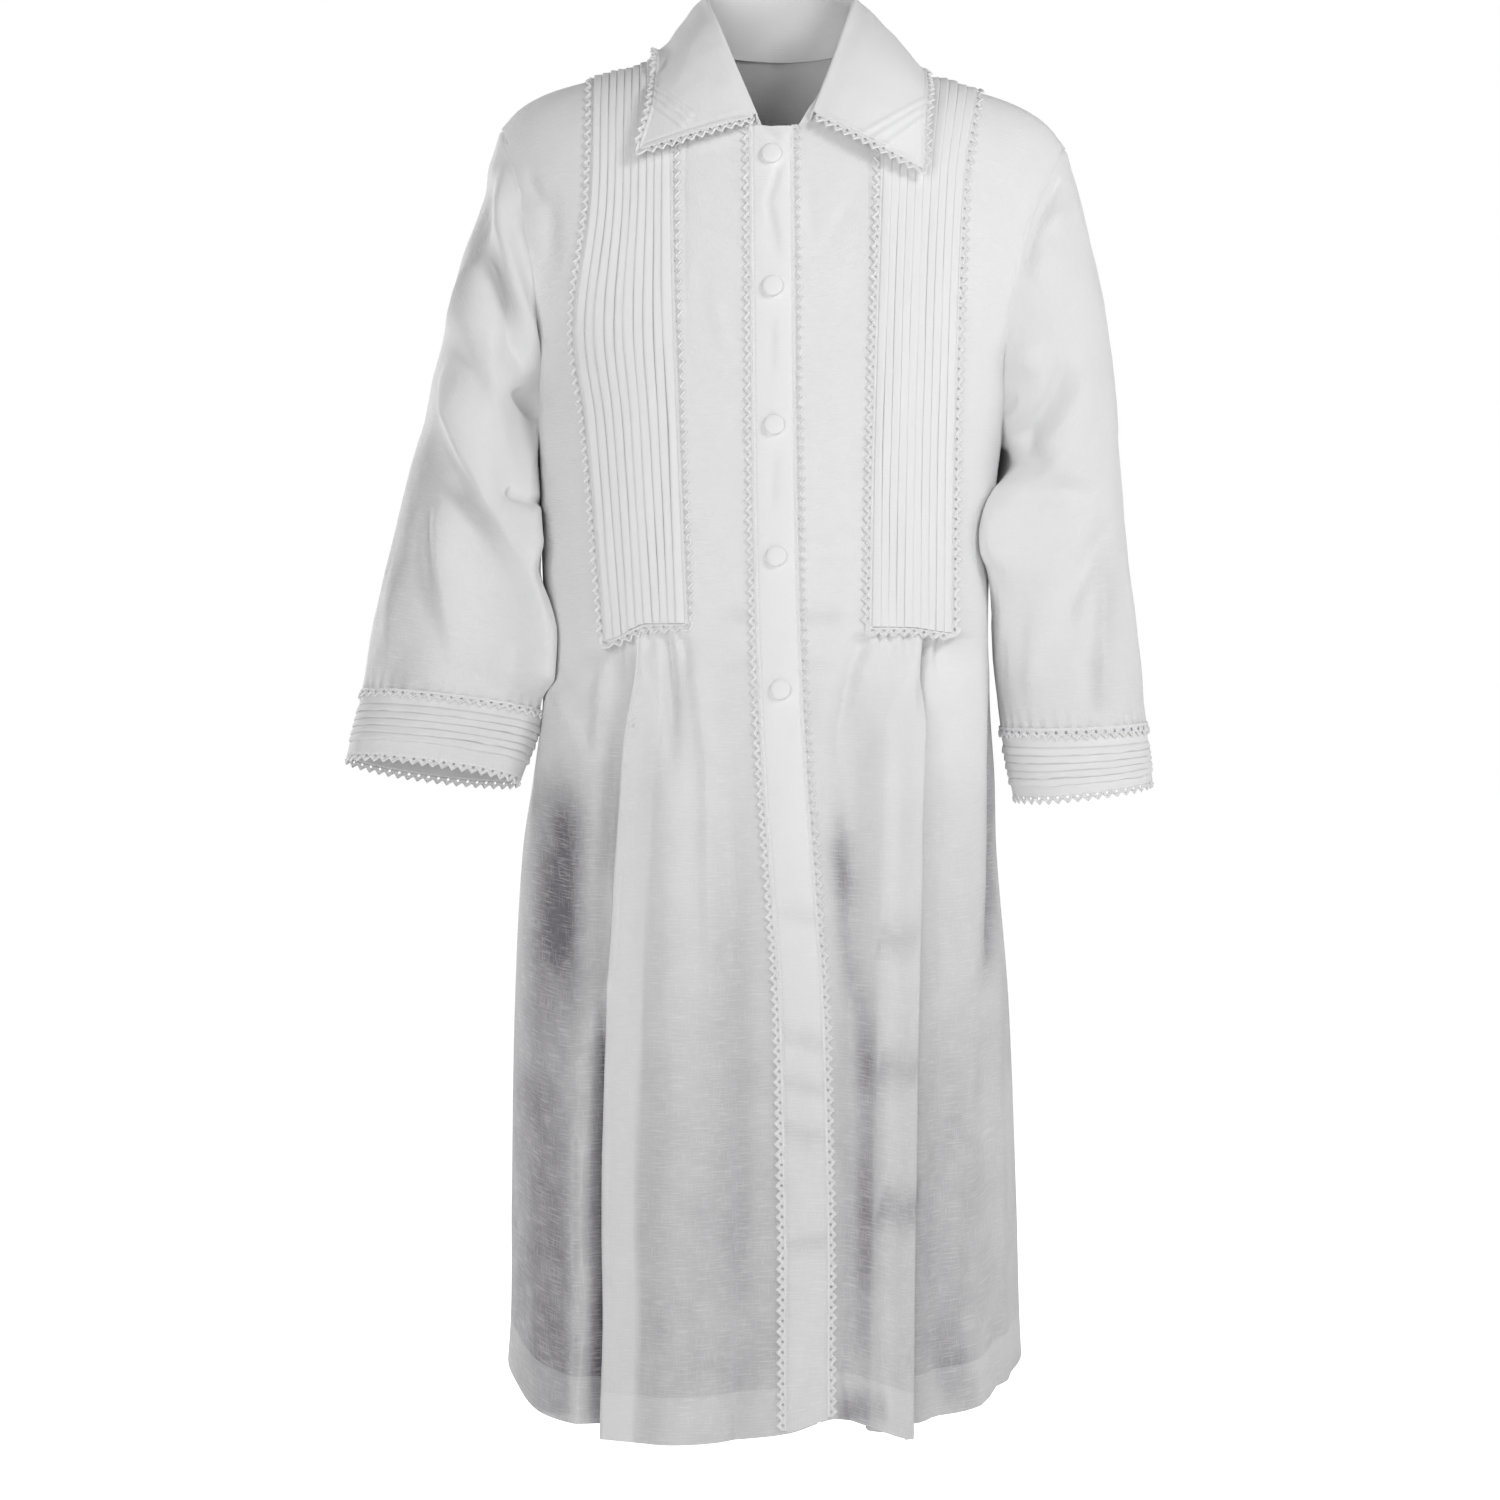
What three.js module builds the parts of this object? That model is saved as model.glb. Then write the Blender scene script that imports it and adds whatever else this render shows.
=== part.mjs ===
// A kittel: a long white robe, worn and buttoned, made of separate sewn pieces.
// Millimetres, +Z up, -Y forwards, +X towards the wearer's left.
// The origin is the middle of the neck at the height of the shoulder seam.
import * as THREE from 'three';

// Driving sizes
const clothWall = 1.2;
const laceWall = 1.0;
const seamGap = 0.4; // clear space between sewn pieces
const laceWidth = 8.5;
const placketWidth = 36;
const placketLift = 2.2; // middle of the strip, above the middle of the fronts
const laceLift = 2.5;
const bandLift = 1.8; // inner face of a tucked band, above the middle of the fronts
const tuckCount = 10;
const tuckRise = 1.5;
const neckHalf = 84;
const neckFront = -110;
const neckBack = -22;
const underarm = -385;
const bandFoot = -566;
const pleatDepth = 37;
const chestLevel = -330; // above this the cloth turns in towards the shoulder seam
const sectionPower = 2.4; // squareness of the level sections
const shoulderPower = 2.6; // squareness of the turn over the shoulder
const buttonRadius = 9.5;
const buttonHeight = 6;

const colours = { cloth: 0xf3f2f0, lace: 0xf7f6f4, button: 0xf1f0ee };

// Level sections of the body: where the middle lies, and how far the sides, front and back stand out.
// Above the underarm the half width runs on into the sleeves.
const bodySections = [
  { z: -1280, middle: -13, half: 240, front: 188, back: 178 },
  { z: -1190, middle: -12, half: 233, front: 181, back: 173 },
  { z: -1080, middle: -13, half: 231, front: 174, back: 168 },
  { z: -897, middle: -15, half: 226, front: 162, back: 158 },
  { z: -760, middle: -17, half: 217, front: 153, back: 150 },
  { z: -690, middle: -12, half: 210, front: 147, back: 146 },
  { z: -630, middle: -8, half: 201, front: 142, back: 141 },
  { z: -566, middle: -8, half: 198, front: 136, back: 136 },
  { z: -475, middle: -8, half: 201, front: 129, back: 128 },
  { z: -385, middle: -5, half: 209, front: 123, back: 122 },
  { z: -300, middle: 0, half: 222, front: 118, back: 120 },
  { z: -200, middle: 0, half: 252, front: 116, back: 118 },
  { z: -110, middle: 0, half: 270, front: 114, back: 114 },
  { z: 20, middle: 0, half: 286, front: 112, back: 112 },
];

// Height of the shoulder seam: share of the drop from neck point to shoulder tip, by share of its reach
const shoulderLine = [
  { reach: 0, drop: -0.28 },
  { reach: 0.32, drop: 0 },
  { reach: 0.6, drop: 0.36 },
  { reach: 0.8, drop: 0.6 },
  { reach: 0.93, drop: 0.82 },
  { reach: 1, drop: 1 },
];
const neckPointHeight = -8;

// Hem height round the body, by the share of the way from the middle to a side seam, the right side negative
const hemLine = [
  { turn: -1, z: -1228 },
  { turn: -0.76, z: -1243 },
  { turn: -0.55, z: -1264 },
  { turn: -0.36, z: -1267 },
  { turn: -0.11, z: -1271 },
  { turn: 0.03, z: -1262 },
  { turn: 0.13, z: -1250 },
  { turn: 0.3, z: -1266 },
  { turn: 0.38, z: -1254 },
  { turn: 0.6, z: -1246 },
  { turn: 1, z: -1221 },
];
const hemMiddle = -1263;
const hemBack = -1240;

// Armhole: share of the way from the underarm's width out to the tip's, by share of the drop
const armholeLine = [
  { drop: 0, out: 1 },
  { drop: 0.08, out: 0.74 },
  { drop: 0.18, out: 0.48 },
  { drop: 0.3, out: 0.28 },
  { drop: 0.5, out: 0.1 },
  { drop: 0.75, out: 0 },
  { drop: 1, out: 0 },
];

// The placket hangs a little towards the wearer's left below the waist
const placketLine = [
  { z: -1280, x: 24 },
  { z: -1060, x: 23 },
  { z: -890, x: 19 },
  { z: -765, x: 10 },
  { z: -620, x: 1 },
  { z: -430, x: -4 },
  { z: -100, x: -7 },
];

// Lines down each front: lace on both edges of the tucked band, and the free edge of the knife pleat
const sides = {
  right: {
    sign: -1,
    tip: { x: -254, z: -96 },
    bandInner: [{ z: -566, x: -78 }, { z: -400, x: -85 }, { z: -230, x: -91 }, { z: -20, x: -93 }],
    bandOuter: [
      { z: -566, x: -158 }, { z: -373, x: -175 }, { z: -287, x: -186 }, { z: -176, x: -172 },
      { z: -50, x: -171 },
    ],
    pleat: [
      { z: -1280, x: -156 }, { z: -887, x: -151 }, { z: -676, x: -140 }, { z: -566, x: -128 },
      { z: -300, x: -150 }, { z: -50, x: -142 },
    ],
  },
  left: {
    sign: 1,
    tip: { x: 264, z: -114 },
    bandInner: [{ z: -566, x: 77 }, { z: -400, x: 80 }, { z: -150, x: 88 }, { z: -20, x: 93 }],
    bandOuter: [{ z: -566, x: 157 }, { z: -380, x: 160 }, { z: -155, x: 169 }, { z: -64, x: 184 }],
    pleat: [
      { z: -1280, x: 117 }, { z: -1063, x: 120 }, { z: -764, x: 127 }, { z: -566, x: 134 },
      { z: -300, x: 137 }, { z: -50, x: 152 },
    ],
  },
};

// Turns of the cloth through a knife pleat, along the cloth outwards. flat is the place before the pleat
// opens, turned plus ofDepth pleat depths the place after, and lift the height above the front's surface.
const pleatTurns = [
  { flat: -14, turned: -9, ofDepth: 0, lift: 0 },
  { flat: -8, turned: -2, ofDepth: 0, lift: 0 },
  { flat: -4, turned: 0, ofDepth: 0, lift: -1.8 },
  { flat: 0, turned: -2.5, ofDepth: 0, lift: -3.8 },
  { flat: 4, turned: 3, ofDepth: -1, lift: -5.8 },
  { flat: 8, turned: 0, ofDepth: -1, lift: -7.6 },
  { flat: 12, turned: 3, ofDepth: -1, lift: -9.6 },
  { flat: 17, turned: 9, ofDepth: 0, lift: -10 },
];
const pleatDrop = { start: -552, end: -590 };
const pleatOpen = { start: -585, end: -700 };

// Soft folds: their line from top to bottom, half width and height. A trough has a negative height.
const frontFolds = {
  right: [
    { top: -590, xTop: -96, bottom: -1290, xBottom: -92, width: 26, height: 9 },
    { top: -640, xTop: -60, bottom: -1290, xBottom: -48, width: 18, height: -7 },
    { top: -900, xTop: -180, bottom: -1290, xBottom: -184, width: 12, height: 12 },
    { top: -620, xTop: -182, bottom: -1100, xBottom: -205, width: 16, height: -7 },
  ],
  left: [
    { top: -580, xTop: 62, bottom: -1290, xBottom: 68, width: 13, height: -8 },
    { top: -590, xTop: 98, bottom: -1290, xBottom: 90, width: 20, height: 9 },
    { top: -520, xTop: 176, bottom: -1290, xBottom: 186, width: 14, height: 9 },
    { top: -600, xTop: 158, bottom: -1290, xBottom: 152, width: 13, height: -7 },
  ],
};
const backFolds = [
  { top: -420, xTop: -120, bottom: -1290, xBottom: -150, width: 26, height: 12 },
  { top: -520, xTop: -62, bottom: -1290, xBottom: -78, width: 24, height: -9 },
  { top: -380, xTop: -8, bottom: -1290, xBottom: -18, width: 30, height: 11 },
  { top: -560, xTop: 58, bottom: -1290, xBottom: 52, width: 22, height: -10 },
  { top: -430, xTop: 118, bottom: -1290, xBottom: 116, width: 28, height: 12 },
  { top: -640, xTop: 168, bottom: -1290, xBottom: 176, width: 18, height: -7 },
];
const foldFade = 130; // length over which a fold grows from its upper end

// Sleeve sections: outer and inner points across the arm, and half the depth front to back.
// The first row is the armhole and the last two the upper and lower edge of the cuff.
const sleeves = {
  right: [
    { outX: -254, outZ: -96, inX: -214, inZ: -385, depth: 66, y: 0 },
    { outX: -270, outZ: -148, inX: -218, inZ: -396, depth: 71, y: 0 },
    { outX: -288, outZ: -210, inX: -219, inZ: -410, depth: 72, y: 1 },
    { outX: -307, outZ: -282, inX: -218, inZ: -428, depth: 70, y: 2 },
    { outX: -325, outZ: -348, inX: -216, inZ: -450, depth: 66, y: 2 },
    { outX: -346, outZ: -425, inX: -213, inZ: -488, depth: 61, y: -2 },
    { outX: -362, outZ: -498, inX: -212, inZ: -540, depth: 54, y: -8 },
    { outX: -373, outZ: -560, inX: -212, inZ: -592, depth: 46, y: -16 },
    { outX: -380, outZ: -617, inX: -216, inZ: -636, depth: 39, y: -24 },
    { outX: -392, outZ: -672, inX: -235, inZ: -692, depth: 33, y: -30 },
  ],
  left: [
    { outX: 264, outZ: -114, inX: 204, inZ: -385, depth: 66, y: 0 },
    { outX: 276, outZ: -156, inX: 208, inZ: -394, depth: 70, y: 0 },
    { outX: 289, outZ: -210, inX: 209, inZ: -406, depth: 71, y: 1 },
    { outX: 302, outZ: -272, inX: 208, inZ: -422, depth: 69, y: 2 },
    { outX: 310, outZ: -334, inX: 206, inZ: -442, depth: 66, y: 2 },
    { outX: 314, outZ: -405, inX: 201, inZ: -474, depth: 62, y: 0 },
    { outX: 320, outZ: -480, inX: 197, inZ: -520, depth: 58, y: -5 },
    { outX: 329, outZ: -560, inX: 197, inZ: -585, depth: 53, y: -12 },
    { outX: 336, outZ: -634, inX: 205, inZ: -646, depth: 48, y: -20 },
    { outX: 340, outZ: -689, inX: 215, inZ: -702, depth: 45, y: -26 },
  ],
};
// Soft folds that wind down each sleeve from one row and turn to another; a turn of 1.57 faces forwards
const sleeveFolds = {
  right: [
    { fromRow: 3, fromTurn: 0.5, toRow: 8, toTurn: 2.3, width: 0.34, height: -7 },
    { fromRow: 2, fromTurn: 1.5, toRow: 7, toTurn: 2.7, width: 0.3, height: 5 },
    { fromRow: 3, fromTurn: 5.7, toRow: 8, toTurn: 4.1, width: 0.36, height: -6 },
  ],
  left: [
    { fromRow: 3, fromTurn: 0.4, toRow: 7, toTurn: 1.8, width: 0.32, height: -6 },
    { fromRow: 2, fromTurn: 1.3, toRow: 6, toTurn: 2.5, width: 0.3, height: 5 },
    { fromRow: 3, fromTurn: 5.8, toRow: 8, toTurn: 4.3, width: 0.36, height: -6 },
  ],
};
const sleeveRows = sleeves.right.length - 1;
const cuffRow = sleeveRows - 1;
const cuffFallBack = 16; // the back of a cuff hangs this much lower than its front
const armholeClear = 2.4; // middle of the sleeve's edge beyond the panels' edge
const capBlend = 3; // rows over which the armhole's own outline gives way to oval sections

// Collar, from the middle of the back to the front end: fold line and free edge, and the seam's share
// of the neckline. right and left lie at minus and plus x.
const collarStations = {
  right: [
    { seam: 0, foldX: 0, foldY: 60, foldZ: 38, edgeX: 0, edgeY: 98, edgeZ: -42 },
    { seam: 0.17, foldX: -34, foldY: 52, foldZ: 37, edgeX: -50, edgeY: 94, edgeZ: -41 },
    { seam: 0.34, foldX: -58, foldY: 31, foldZ: 34, edgeX: -90, edgeY: 66, edgeZ: -32 },
    { seam: 0.5, foldX: -68, foldY: 0, foldZ: 26, edgeX: -105, edgeY: 18, edgeZ: -12 },
    { seam: 0.62, foldX: -65, foldY: -30, foldZ: 12, edgeX: -106, edgeY: -34, edgeZ: -20 },
    { seam: 0.74, foldX: -55, foldY: -58, foldZ: -12, edgeX: -108, edgeY: -72, edgeZ: -56 },
    { seam: 0.86, foldX: -39, foldY: -82, foldZ: -52, edgeX: -112, edgeY: -92, edgeZ: -92 },
    { seam: 1, foldX: -20, foldY: -102, foldZ: -100, edgeX: -123, edgeY: -101, edgeZ: -130 },
  ],
  left: [
    { seam: 0, foldX: 0, foldY: 60, foldZ: 38, edgeX: 0, edgeY: 98, edgeZ: -42 },
    { seam: 0.17, foldX: 34, foldY: 52, foldZ: 37, edgeX: 51, edgeY: 94, edgeZ: -42 },
    { seam: 0.34, foldX: 59, foldY: 31, foldZ: 34, edgeX: 96, edgeY: 66, edgeZ: -35 },
    { seam: 0.5, foldX: 70, foldY: 0, foldZ: 26, edgeX: 118, edgeY: 18, edgeZ: -19 },
    { seam: 0.62, foldX: 69, foldY: -30, foldZ: 12, edgeX: 126, edgeY: -32, edgeZ: -30 },
    { seam: 0.74, foldX: 61, foldY: -58, foldZ: -12, edgeX: 129, edgeY: -72, edgeZ: -62 },
    { seam: 0.86, foldX: 47, foldY: -83, foldZ: -52, edgeX: 128, edgeY: -94, edgeZ: -104 },
    { seam: 1, foldX: 30, foldY: -103, foldZ: -98, edgeX: 127, edgeY: -104, edgeZ: -147 },
  ],
};
const collarClear = 7; // collar's middle above the cloth it lies on
const collarLaceRoom = 1.9; // from the collar's edge to its lace, wide enough for the bend of the edge
const collarSteps = 24;

const buttonHeights = [-136, -255, -379, -496, -614];

// ---- small helpers ----

const clamp = (value, low, high) => Math.min(high, Math.max(low, value));
const mix = (a, b, share) => a + (b - a) * share;
const ease = (share) => {
  const t = clamp(share, 0, 1);
  return t * t * (3 - 2 * t);
};

// Smooth reading of a table: cubic through its rows, with each slope taken from the two neighbours
function readTable(rows, by, key, at) {
  const rising = rows[0][by] < rows[rows.length - 1][by];
  const sorted = rising ? rows : [...rows].reverse();
  const last = sorted.length - 1;
  const t = clamp(at, sorted[0][by], sorted[last][by]);
  let k = 0;
  while (k < last - 1 && t > sorted[k + 1][by]) k += 1;
  const slope = (n) => {
    const low = sorted[Math.max(0, n - 1)];
    const high = sorted[Math.min(last, n + 1)];
    return (high[key] - low[key]) / (high[by] - low[by]);
  };
  const step = sorted[k + 1][by] - sorted[k][by];
  const u = (t - sorted[k][by]) / step;
  const rise = u * u * (3 - 2 * u);
  return (
    mix(sorted[k][key], sorted[k + 1][key], rise) +
    step * (u * (1 - u) * (1 - u) * slope(k) - u * u * (1 - u) * slope(k + 1))
  );
}

// Rows to columns
const turnGrid = (grid) => grid[0].map((_, k) => grid.map((row) => row[k]));

// A closed wall between two faces given as grids of points. A wrapped grid closes on itself across.
function wallBetween(outer, inner, wrapped = false) {
  const rows = outer.length;
  const columns = outer[0].length;
  const positions = [];
  for (const face of [outer, inner]) {
    for (const row of face) {
      for (const point of row) positions.push(point.x, point.y, point.z);
    }
  }
  const at = (face, i, j) => face * rows * columns + i * columns + (j % columns);
  const index = [];
  const quad = (a, b, c, d) => index.push(a, b, c, a, c, d);
  const spans = wrapped ? columns : columns - 1;
  for (let i = 0; i < rows - 1; i += 1) {
    for (let j = 0; j < spans; j += 1) {
      quad(at(0, i, j), at(0, i, j + 1), at(0, i + 1, j + 1), at(0, i + 1, j));
      quad(at(1, i, j), at(1, i + 1, j), at(1, i + 1, j + 1), at(1, i, j + 1));
    }
    if (!wrapped) {
      quad(at(0, i, 0), at(0, i + 1, 0), at(1, i + 1, 0), at(1, i, 0));
      quad(at(0, i, spans), at(1, i, spans), at(1, i + 1, spans), at(0, i + 1, spans));
    }
  }
  for (let j = 0; j < spans; j += 1) {
    quad(at(0, 0, j), at(1, 0, j), at(1, 0, j + 1), at(0, 0, j + 1));
    quad(at(0, rows - 1, j), at(0, rows - 1, j + 1), at(1, rows - 1, j + 1), at(1, rows - 1, j));
  }
  const geometry = new THREE.BufferGeometry();
  geometry.setAttribute('position', new THREE.Float32BufferAttribute(positions, 3));
  geometry.setIndex(facingOut(positions, index));
  geometry.computeVertexNormals();
  return geometry;
}

// Turn every triangle over where the enclosed volume comes out negative
function facingOut(positions, index) {
  let volume = 0;
  const corner = (n) => new THREE.Vector3().fromArray(positions, 3 * n);
  for (let k = 0; k < index.length; k += 3) {
    volume += corner(index[k]).dot(corner(index[k + 1]).cross(corner(index[k + 2])));
  }
  if (volume > 0) return index;
  const turned = [];
  for (let k = 0; k < index.length; k += 3) turned.push(index[k], index[k + 2], index[k + 1]);
  return turned;
}

// Directions square to a grid of points, on the side that lies away from a given point
function gridNormals(grid, wrapped, away) {
  const rows = grid.length;
  const columns = grid[0].length;
  const beside = (j) => (wrapped ? (j + columns) % columns : clamp(j, 0, columns - 1));
  const pick = (i, j) => grid[clamp(i, 0, rows - 1)][beside(j)];
  const normals = grid.map((row, i) =>
    row.map((point, j) => {
      const across = pick(i, j + 1).clone().sub(pick(i, j - 1));
      const down = pick(i + 1, j).clone().sub(pick(i - 1, j));
      return across.cross(down).normalize();
    }),
  );
  const i = Math.floor(rows / 2);
  const sign = normals[i][0].dot(grid[i][0].clone().sub(away)) < 0 ? -1 : 1;
  return normals.map((row) => row.map((normal) => normal.multiplyScalar(sign)));
}

// A wall of even thickness round a grid, then nudged by a limit such as a seam plane
function wallRound(grid, thickness, { wrapped = false, away, limit = (point) => point }) {
  const normals = gridNormals(grid, wrapped, away);
  const shifted = (side) =>
    grid.map((row, i) =>
      row.map((point, j) => limit(point.clone().addScaledVector(normals[i][j], (side * thickness) / 2))),
    );
  return wallBetween(shifted(1), shifted(-1), wrapped);
}

// ---- the body's surface ----

const sideOf = (x) => (x < 0 ? sides.right : sides.left);

function shoulderHeight(x) {
  const { tip } = sideOf(x);
  const drop = readTable(shoulderLine, 'reach', 'drop', Math.abs(x / tip.x));
  return neckPointHeight + (tip.z - neckPointHeight) * drop;
}

// Height of the neck opening's edge, front or back
function neckHeight(x, facing) {
  const low = facing < 0 ? neckFront : neckBack;
  const share = clamp(Math.abs(x) / neckHalf, 0, 1);
  return neckPointHeight + (low - neckPointHeight) * Math.sqrt(1 - share ** 2.2);
}

const topHeight = (x, facing) => (Math.abs(x) < neckHalf ? neckHeight(x, facing) : shoulderHeight(x));

// Share of the way round a level section, 0 at its middle and 1 at the side seam, for a given x
function turnAt(x, z) {
  const offset = x - readTable(bodySections, 'z', 'middle', z);
  const share = clamp(Math.abs(offset) / readTable(bodySections, 'z', 'half', z), 0, 1);
  return (Math.sign(offset) * 2 * Math.asin(share ** (sectionPower / 2))) / Math.PI;
}

// A point of the body's surface: a squared oval section, drawn in towards the shoulder seam above the chest
function bodyPoint(turn, z, facing) {
  const angle = (clamp(Math.abs(turn), 0, 1) * Math.PI) / 2;
  const out = readTable(bodySections, 'z', 'half', z) * Math.sin(angle) ** (2 / sectionPower);
  const x = readTable(bodySections, 'z', 'middle', z) + Math.sign(turn) * out;
  const depth = readTable(bodySections, 'z', facing < 0 ? 'front' : 'back', z);
  const rise = clamp((z - chestLevel) / (shoulderHeight(x) - chestLevel), 0, 1);
  const drawnIn = (1 - rise ** shoulderPower) ** (1 / shoulderPower);
  return new THREE.Vector3(x, facing * depth * Math.cos(angle) ** (2 / sectionPower) * drawnIn, z);
}

function bodyNormal(turn, z, facing) {
  const step = 0.004;
  const drop = 3;
  const across = bodyPoint(turn + step, z, facing).sub(bodyPoint(turn - step, z, facing));
  const down = bodyPoint(turn, z - drop, facing).sub(bodyPoint(turn, z + drop / 3, facing));
  const normal = across.cross(down).normalize();
  return normal.y * facing < 0 ? normal.negate() : normal;
}

// A point at a given x and height, moved out from the surface by lift
function onBody(x, z, facing, lift) {
  const turn = turnAt(x, z);
  return bodyPoint(turn, z, facing).addScaledVector(bodyNormal(turn, z, facing), lift);
}

function foldLift(folds, x, z) {
  let lift = 0;
  for (const fold of folds) {
    const share = (fold.top - z) / (fold.top - fold.bottom);
    const centre = mix(fold.xTop, fold.xBottom, share);
    const grown = ease((fold.top - z) / foldFade);
    lift += fold.height * grown * Math.exp(-(((x - centre) / fold.width) ** 2));
  }
  return lift;
}

const armholeX = (side, drop) => {
  const atUnderarm = bodyPoint(side.sign, underarm, -1).x;
  return mix(atUnderarm, side.tip.x, readTable(armholeLine, 'drop', 'out', drop));
};

// Front panels follow the hem table, and the back an even curve between the same side seams
function hemHeight(turn, facing) {
  if (facing < 0) return readTable(hemLine, 'turn', 'z', turn);
  const atSide = readTable(hemLine, 'turn', 'z', Math.sign(turn) || 1);
  return mix(hemBack, atSide, ease(Math.abs(turn)));
}

// Rows of the panels: shares from the waist down to the hem, heights from waist to underarm, and shares
// from the underarm up to the shoulder seam or neckline
const rowsDown = [1, 0.82, 0.63, 0.45, 0.29, 0.165, 0.07];
const rowsWaist = [bandFoot, -475, underarm];
const rowsUp = [0.06, 0.16, 0.32, 0.5, 0.67, 0.82, 0.94, 1];
const belowArmhole = rowsDown.length + rowsWaist.length;
const rowCount = belowArmhole + rowsUp.length;

// Heights of one column of a panel, hem first
function columnHeights(hem, top) {
  const down = rowsDown.map((share) => mix(bandFoot, hem, share));
  return [...down, ...rowsWaist, ...rowsUp.map((share) => mix(underarm, top, share))];
}

// ---- panels ----

const lastTurn = pleatTurns[pleatTurns.length - 1];
const nameOf = (side) => (side.sign < 0 ? 'right' : 'left');
const placketX = (z) => readTable(placketLine, 'z', 'x', z);
const rightEdge = 9; // edges of the two fronts under the placket, from its middle
const leftEdge = 12;

// One front: columns from its edge under the placket, across the pleat, to the armhole and side seam
function frontGrid(side) {
  const edge = (z) => placketX(z) + (side.sign < 0 ? rightEdge : leftEdge);
  const seam = (z) => placketX(z) + side.sign * (placketWidth / 2 + 3);
  const neckPoint = (z) => side.sign * mix(78, neckHalf, ease((z - bandFoot) / 400));
  const pleat = (z) => readTable(side.pleat, 'z', 'x', z);
  const columns = [];
  const between = (from, to, shares) => {
    for (const share of shares) columns.push({ x: (z) => mix(from(z), to(z), share) });
  };
  between(edge, seam, [0, 1]);
  between(seam, neckPoint, [0.34, 0.64, 0.86, 1]);
  between(neckPoint, pleat, [0.36, 0.68]);
  for (const turn of pleatTurns) columns.push({ x: pleat, turn });
  for (const share of [0.3, 0.55, 0.8, 1]) columns.push({ x: pleat, toSide: share });

  const grid = Array.from({ length: rowCount }, () => []);
  for (const column of columns) {
    const flat = column.turn ? column.turn.flat : column.toSide ? lastTurn.flat : 0;
    const start = column.x(neckPointHeight) + side.sign * flat;
    const xTop = column.toSide ? mix(start, side.tip.x, column.toSide) : start;
    const pleatAtHem = turnAt(column.x(hemMiddle), hemMiddle);
    const hemTurn = column.toSide ? mix(pleatAtHem, side.sign, column.toSide) : pleatAtHem;
    const heights = columnHeights(hemHeight(hemTurn, -1), topHeight(xTop, -1));
    heights.forEach((z, i) => grid[i].push(frontPoint(side, column, xTop, z, i)));
  }
  return grid;
}

function frontPoint(side, column, xTop, z, row) {
  const x = column.x(z);
  const dropped = ease((pleatDrop.start - z) / (pleatDrop.start - pleatDrop.end));
  const opened = ease((pleatOpen.start - z) / (pleatOpen.start - pleatOpen.end));
  if (column.turn) {
    const { flat, turned, ofDepth, lift } = column.turn;
    const place = mix(flat, turned + ofDepth * pleatDepth, opened);
    const turn = turnAt(x + side.sign * place, z);
    const point = bodyPoint(turn, z, -1);
    const soft = foldLift(frontFolds[nameOf(side)], point.x, z);
    return point.addScaledVector(bodyNormal(turn, z, -1), lift * dropped + soft);
  }
  if (column.toSide) {
    const start = turnAt(x + side.sign * mix(lastTurn.flat, lastTurn.turned, opened), z);
    const even = mix(start, side.sign * sideEnd(side, row, z), column.toSide);
    const turn = column.toSide < 1 ? mix(even, turnAt(xTop, z), upShare(row)) : even;
    const point = bodyPoint(turn, z, -1);
    const nearSide = 1 - ease((Math.abs(turn) - 0.75) / 0.25);
    const lift = lastTurn.lift * dropped * (1 - ease(column.toSide / 0.55));
    const soft = foldLift(frontFolds[nameOf(side)], point.x, z) * nearSide;
    return point.addScaledVector(bodyNormal(turn, z, -1), lift + soft);
  }
  return onBody(x, z, -1, foldLift(frontFolds[nameOf(side)], x, z));
}

// Where a row of a panel ends: at the side seam below the underarm, and at the armhole above it
function sideEnd(side, row, z) {
  if (row < belowArmhole) return 1;
  const drop = 1 - rowsUp[row - belowArmhole];
  return Math.abs(turnAt(armholeX(side, drop), z));
}

// Share of the way from the underarm up to the top, for a row of a panel
const upShare = (row) => (row < belowArmhole ? 0 : rowsUp[row - belowArmhole]);

const behindSeam = (facing) => (point) => {
  const limit = (facing * seamGap) / 2;
  if (point.y * facing < Math.abs(limit)) point.y = limit;
  return point;
};

const front = (side) =>
  wallRound(frontGrid(side), clothWall, { away: new THREE.Vector3(0, 0, -600), limit: behindSeam(-1) });

function backGrid() {
  const shares = [0, 0.12, 0.23, 0.32, 0.48, 0.65, 0.83, 1];
  const stations = [
    ...shares.slice(1).reverse().map((share) => ({ side: sides.right, share })),
    ...shares.map((share) => ({ side: sides.left, share })),
  ];
  const grid = Array.from({ length: rowCount }, () => []);
  for (const { side, share } of stations) {
    const xTop = backTop(side, share);
    columnHeights(hemHeight(side.sign * share, 1), topHeight(xTop, 1)).forEach((z, i) => {
      const end = sideEnd(side, i, z);
      const topShare = Math.abs(turnAt(xTop, z));
      const turn = side.sign * (share < 1 ? mix(share * end, topShare, upShare(i)) : end);
      const point = bodyPoint(turn, z, 1);
      const nearSide = 1 - ease((Math.abs(turn) - 0.7) / 0.3);
      const lift = foldLift(backFolds, point.x, z) * nearSide;
      grid[i].push(point.addScaledVector(bodyNormal(turn, z, 1), lift));
    });
  }
  return grid;
}

// Back columns end at even steps along the neckline, then along the shoulder seam
function backTop(side, share) {
  const neckShare = 0.32;
  const reach =
    share < neckShare
      ? neckHalf * Math.sin(((share / neckShare) * Math.PI) / 2)
      : mix(neckHalf, Math.abs(side.tip.x), (share - neckShare) / (1 - neckShare));
  return side.sign * reach;
}

const back = () =>
  wallRound(backGrid(), clothWall, { away: new THREE.Vector3(0, 0, -600), limit: behindSeam(1) });

// ---- what lies on the fronts ----

const placketRows = columnHeights(hemMiddle, neckFront);

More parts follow.
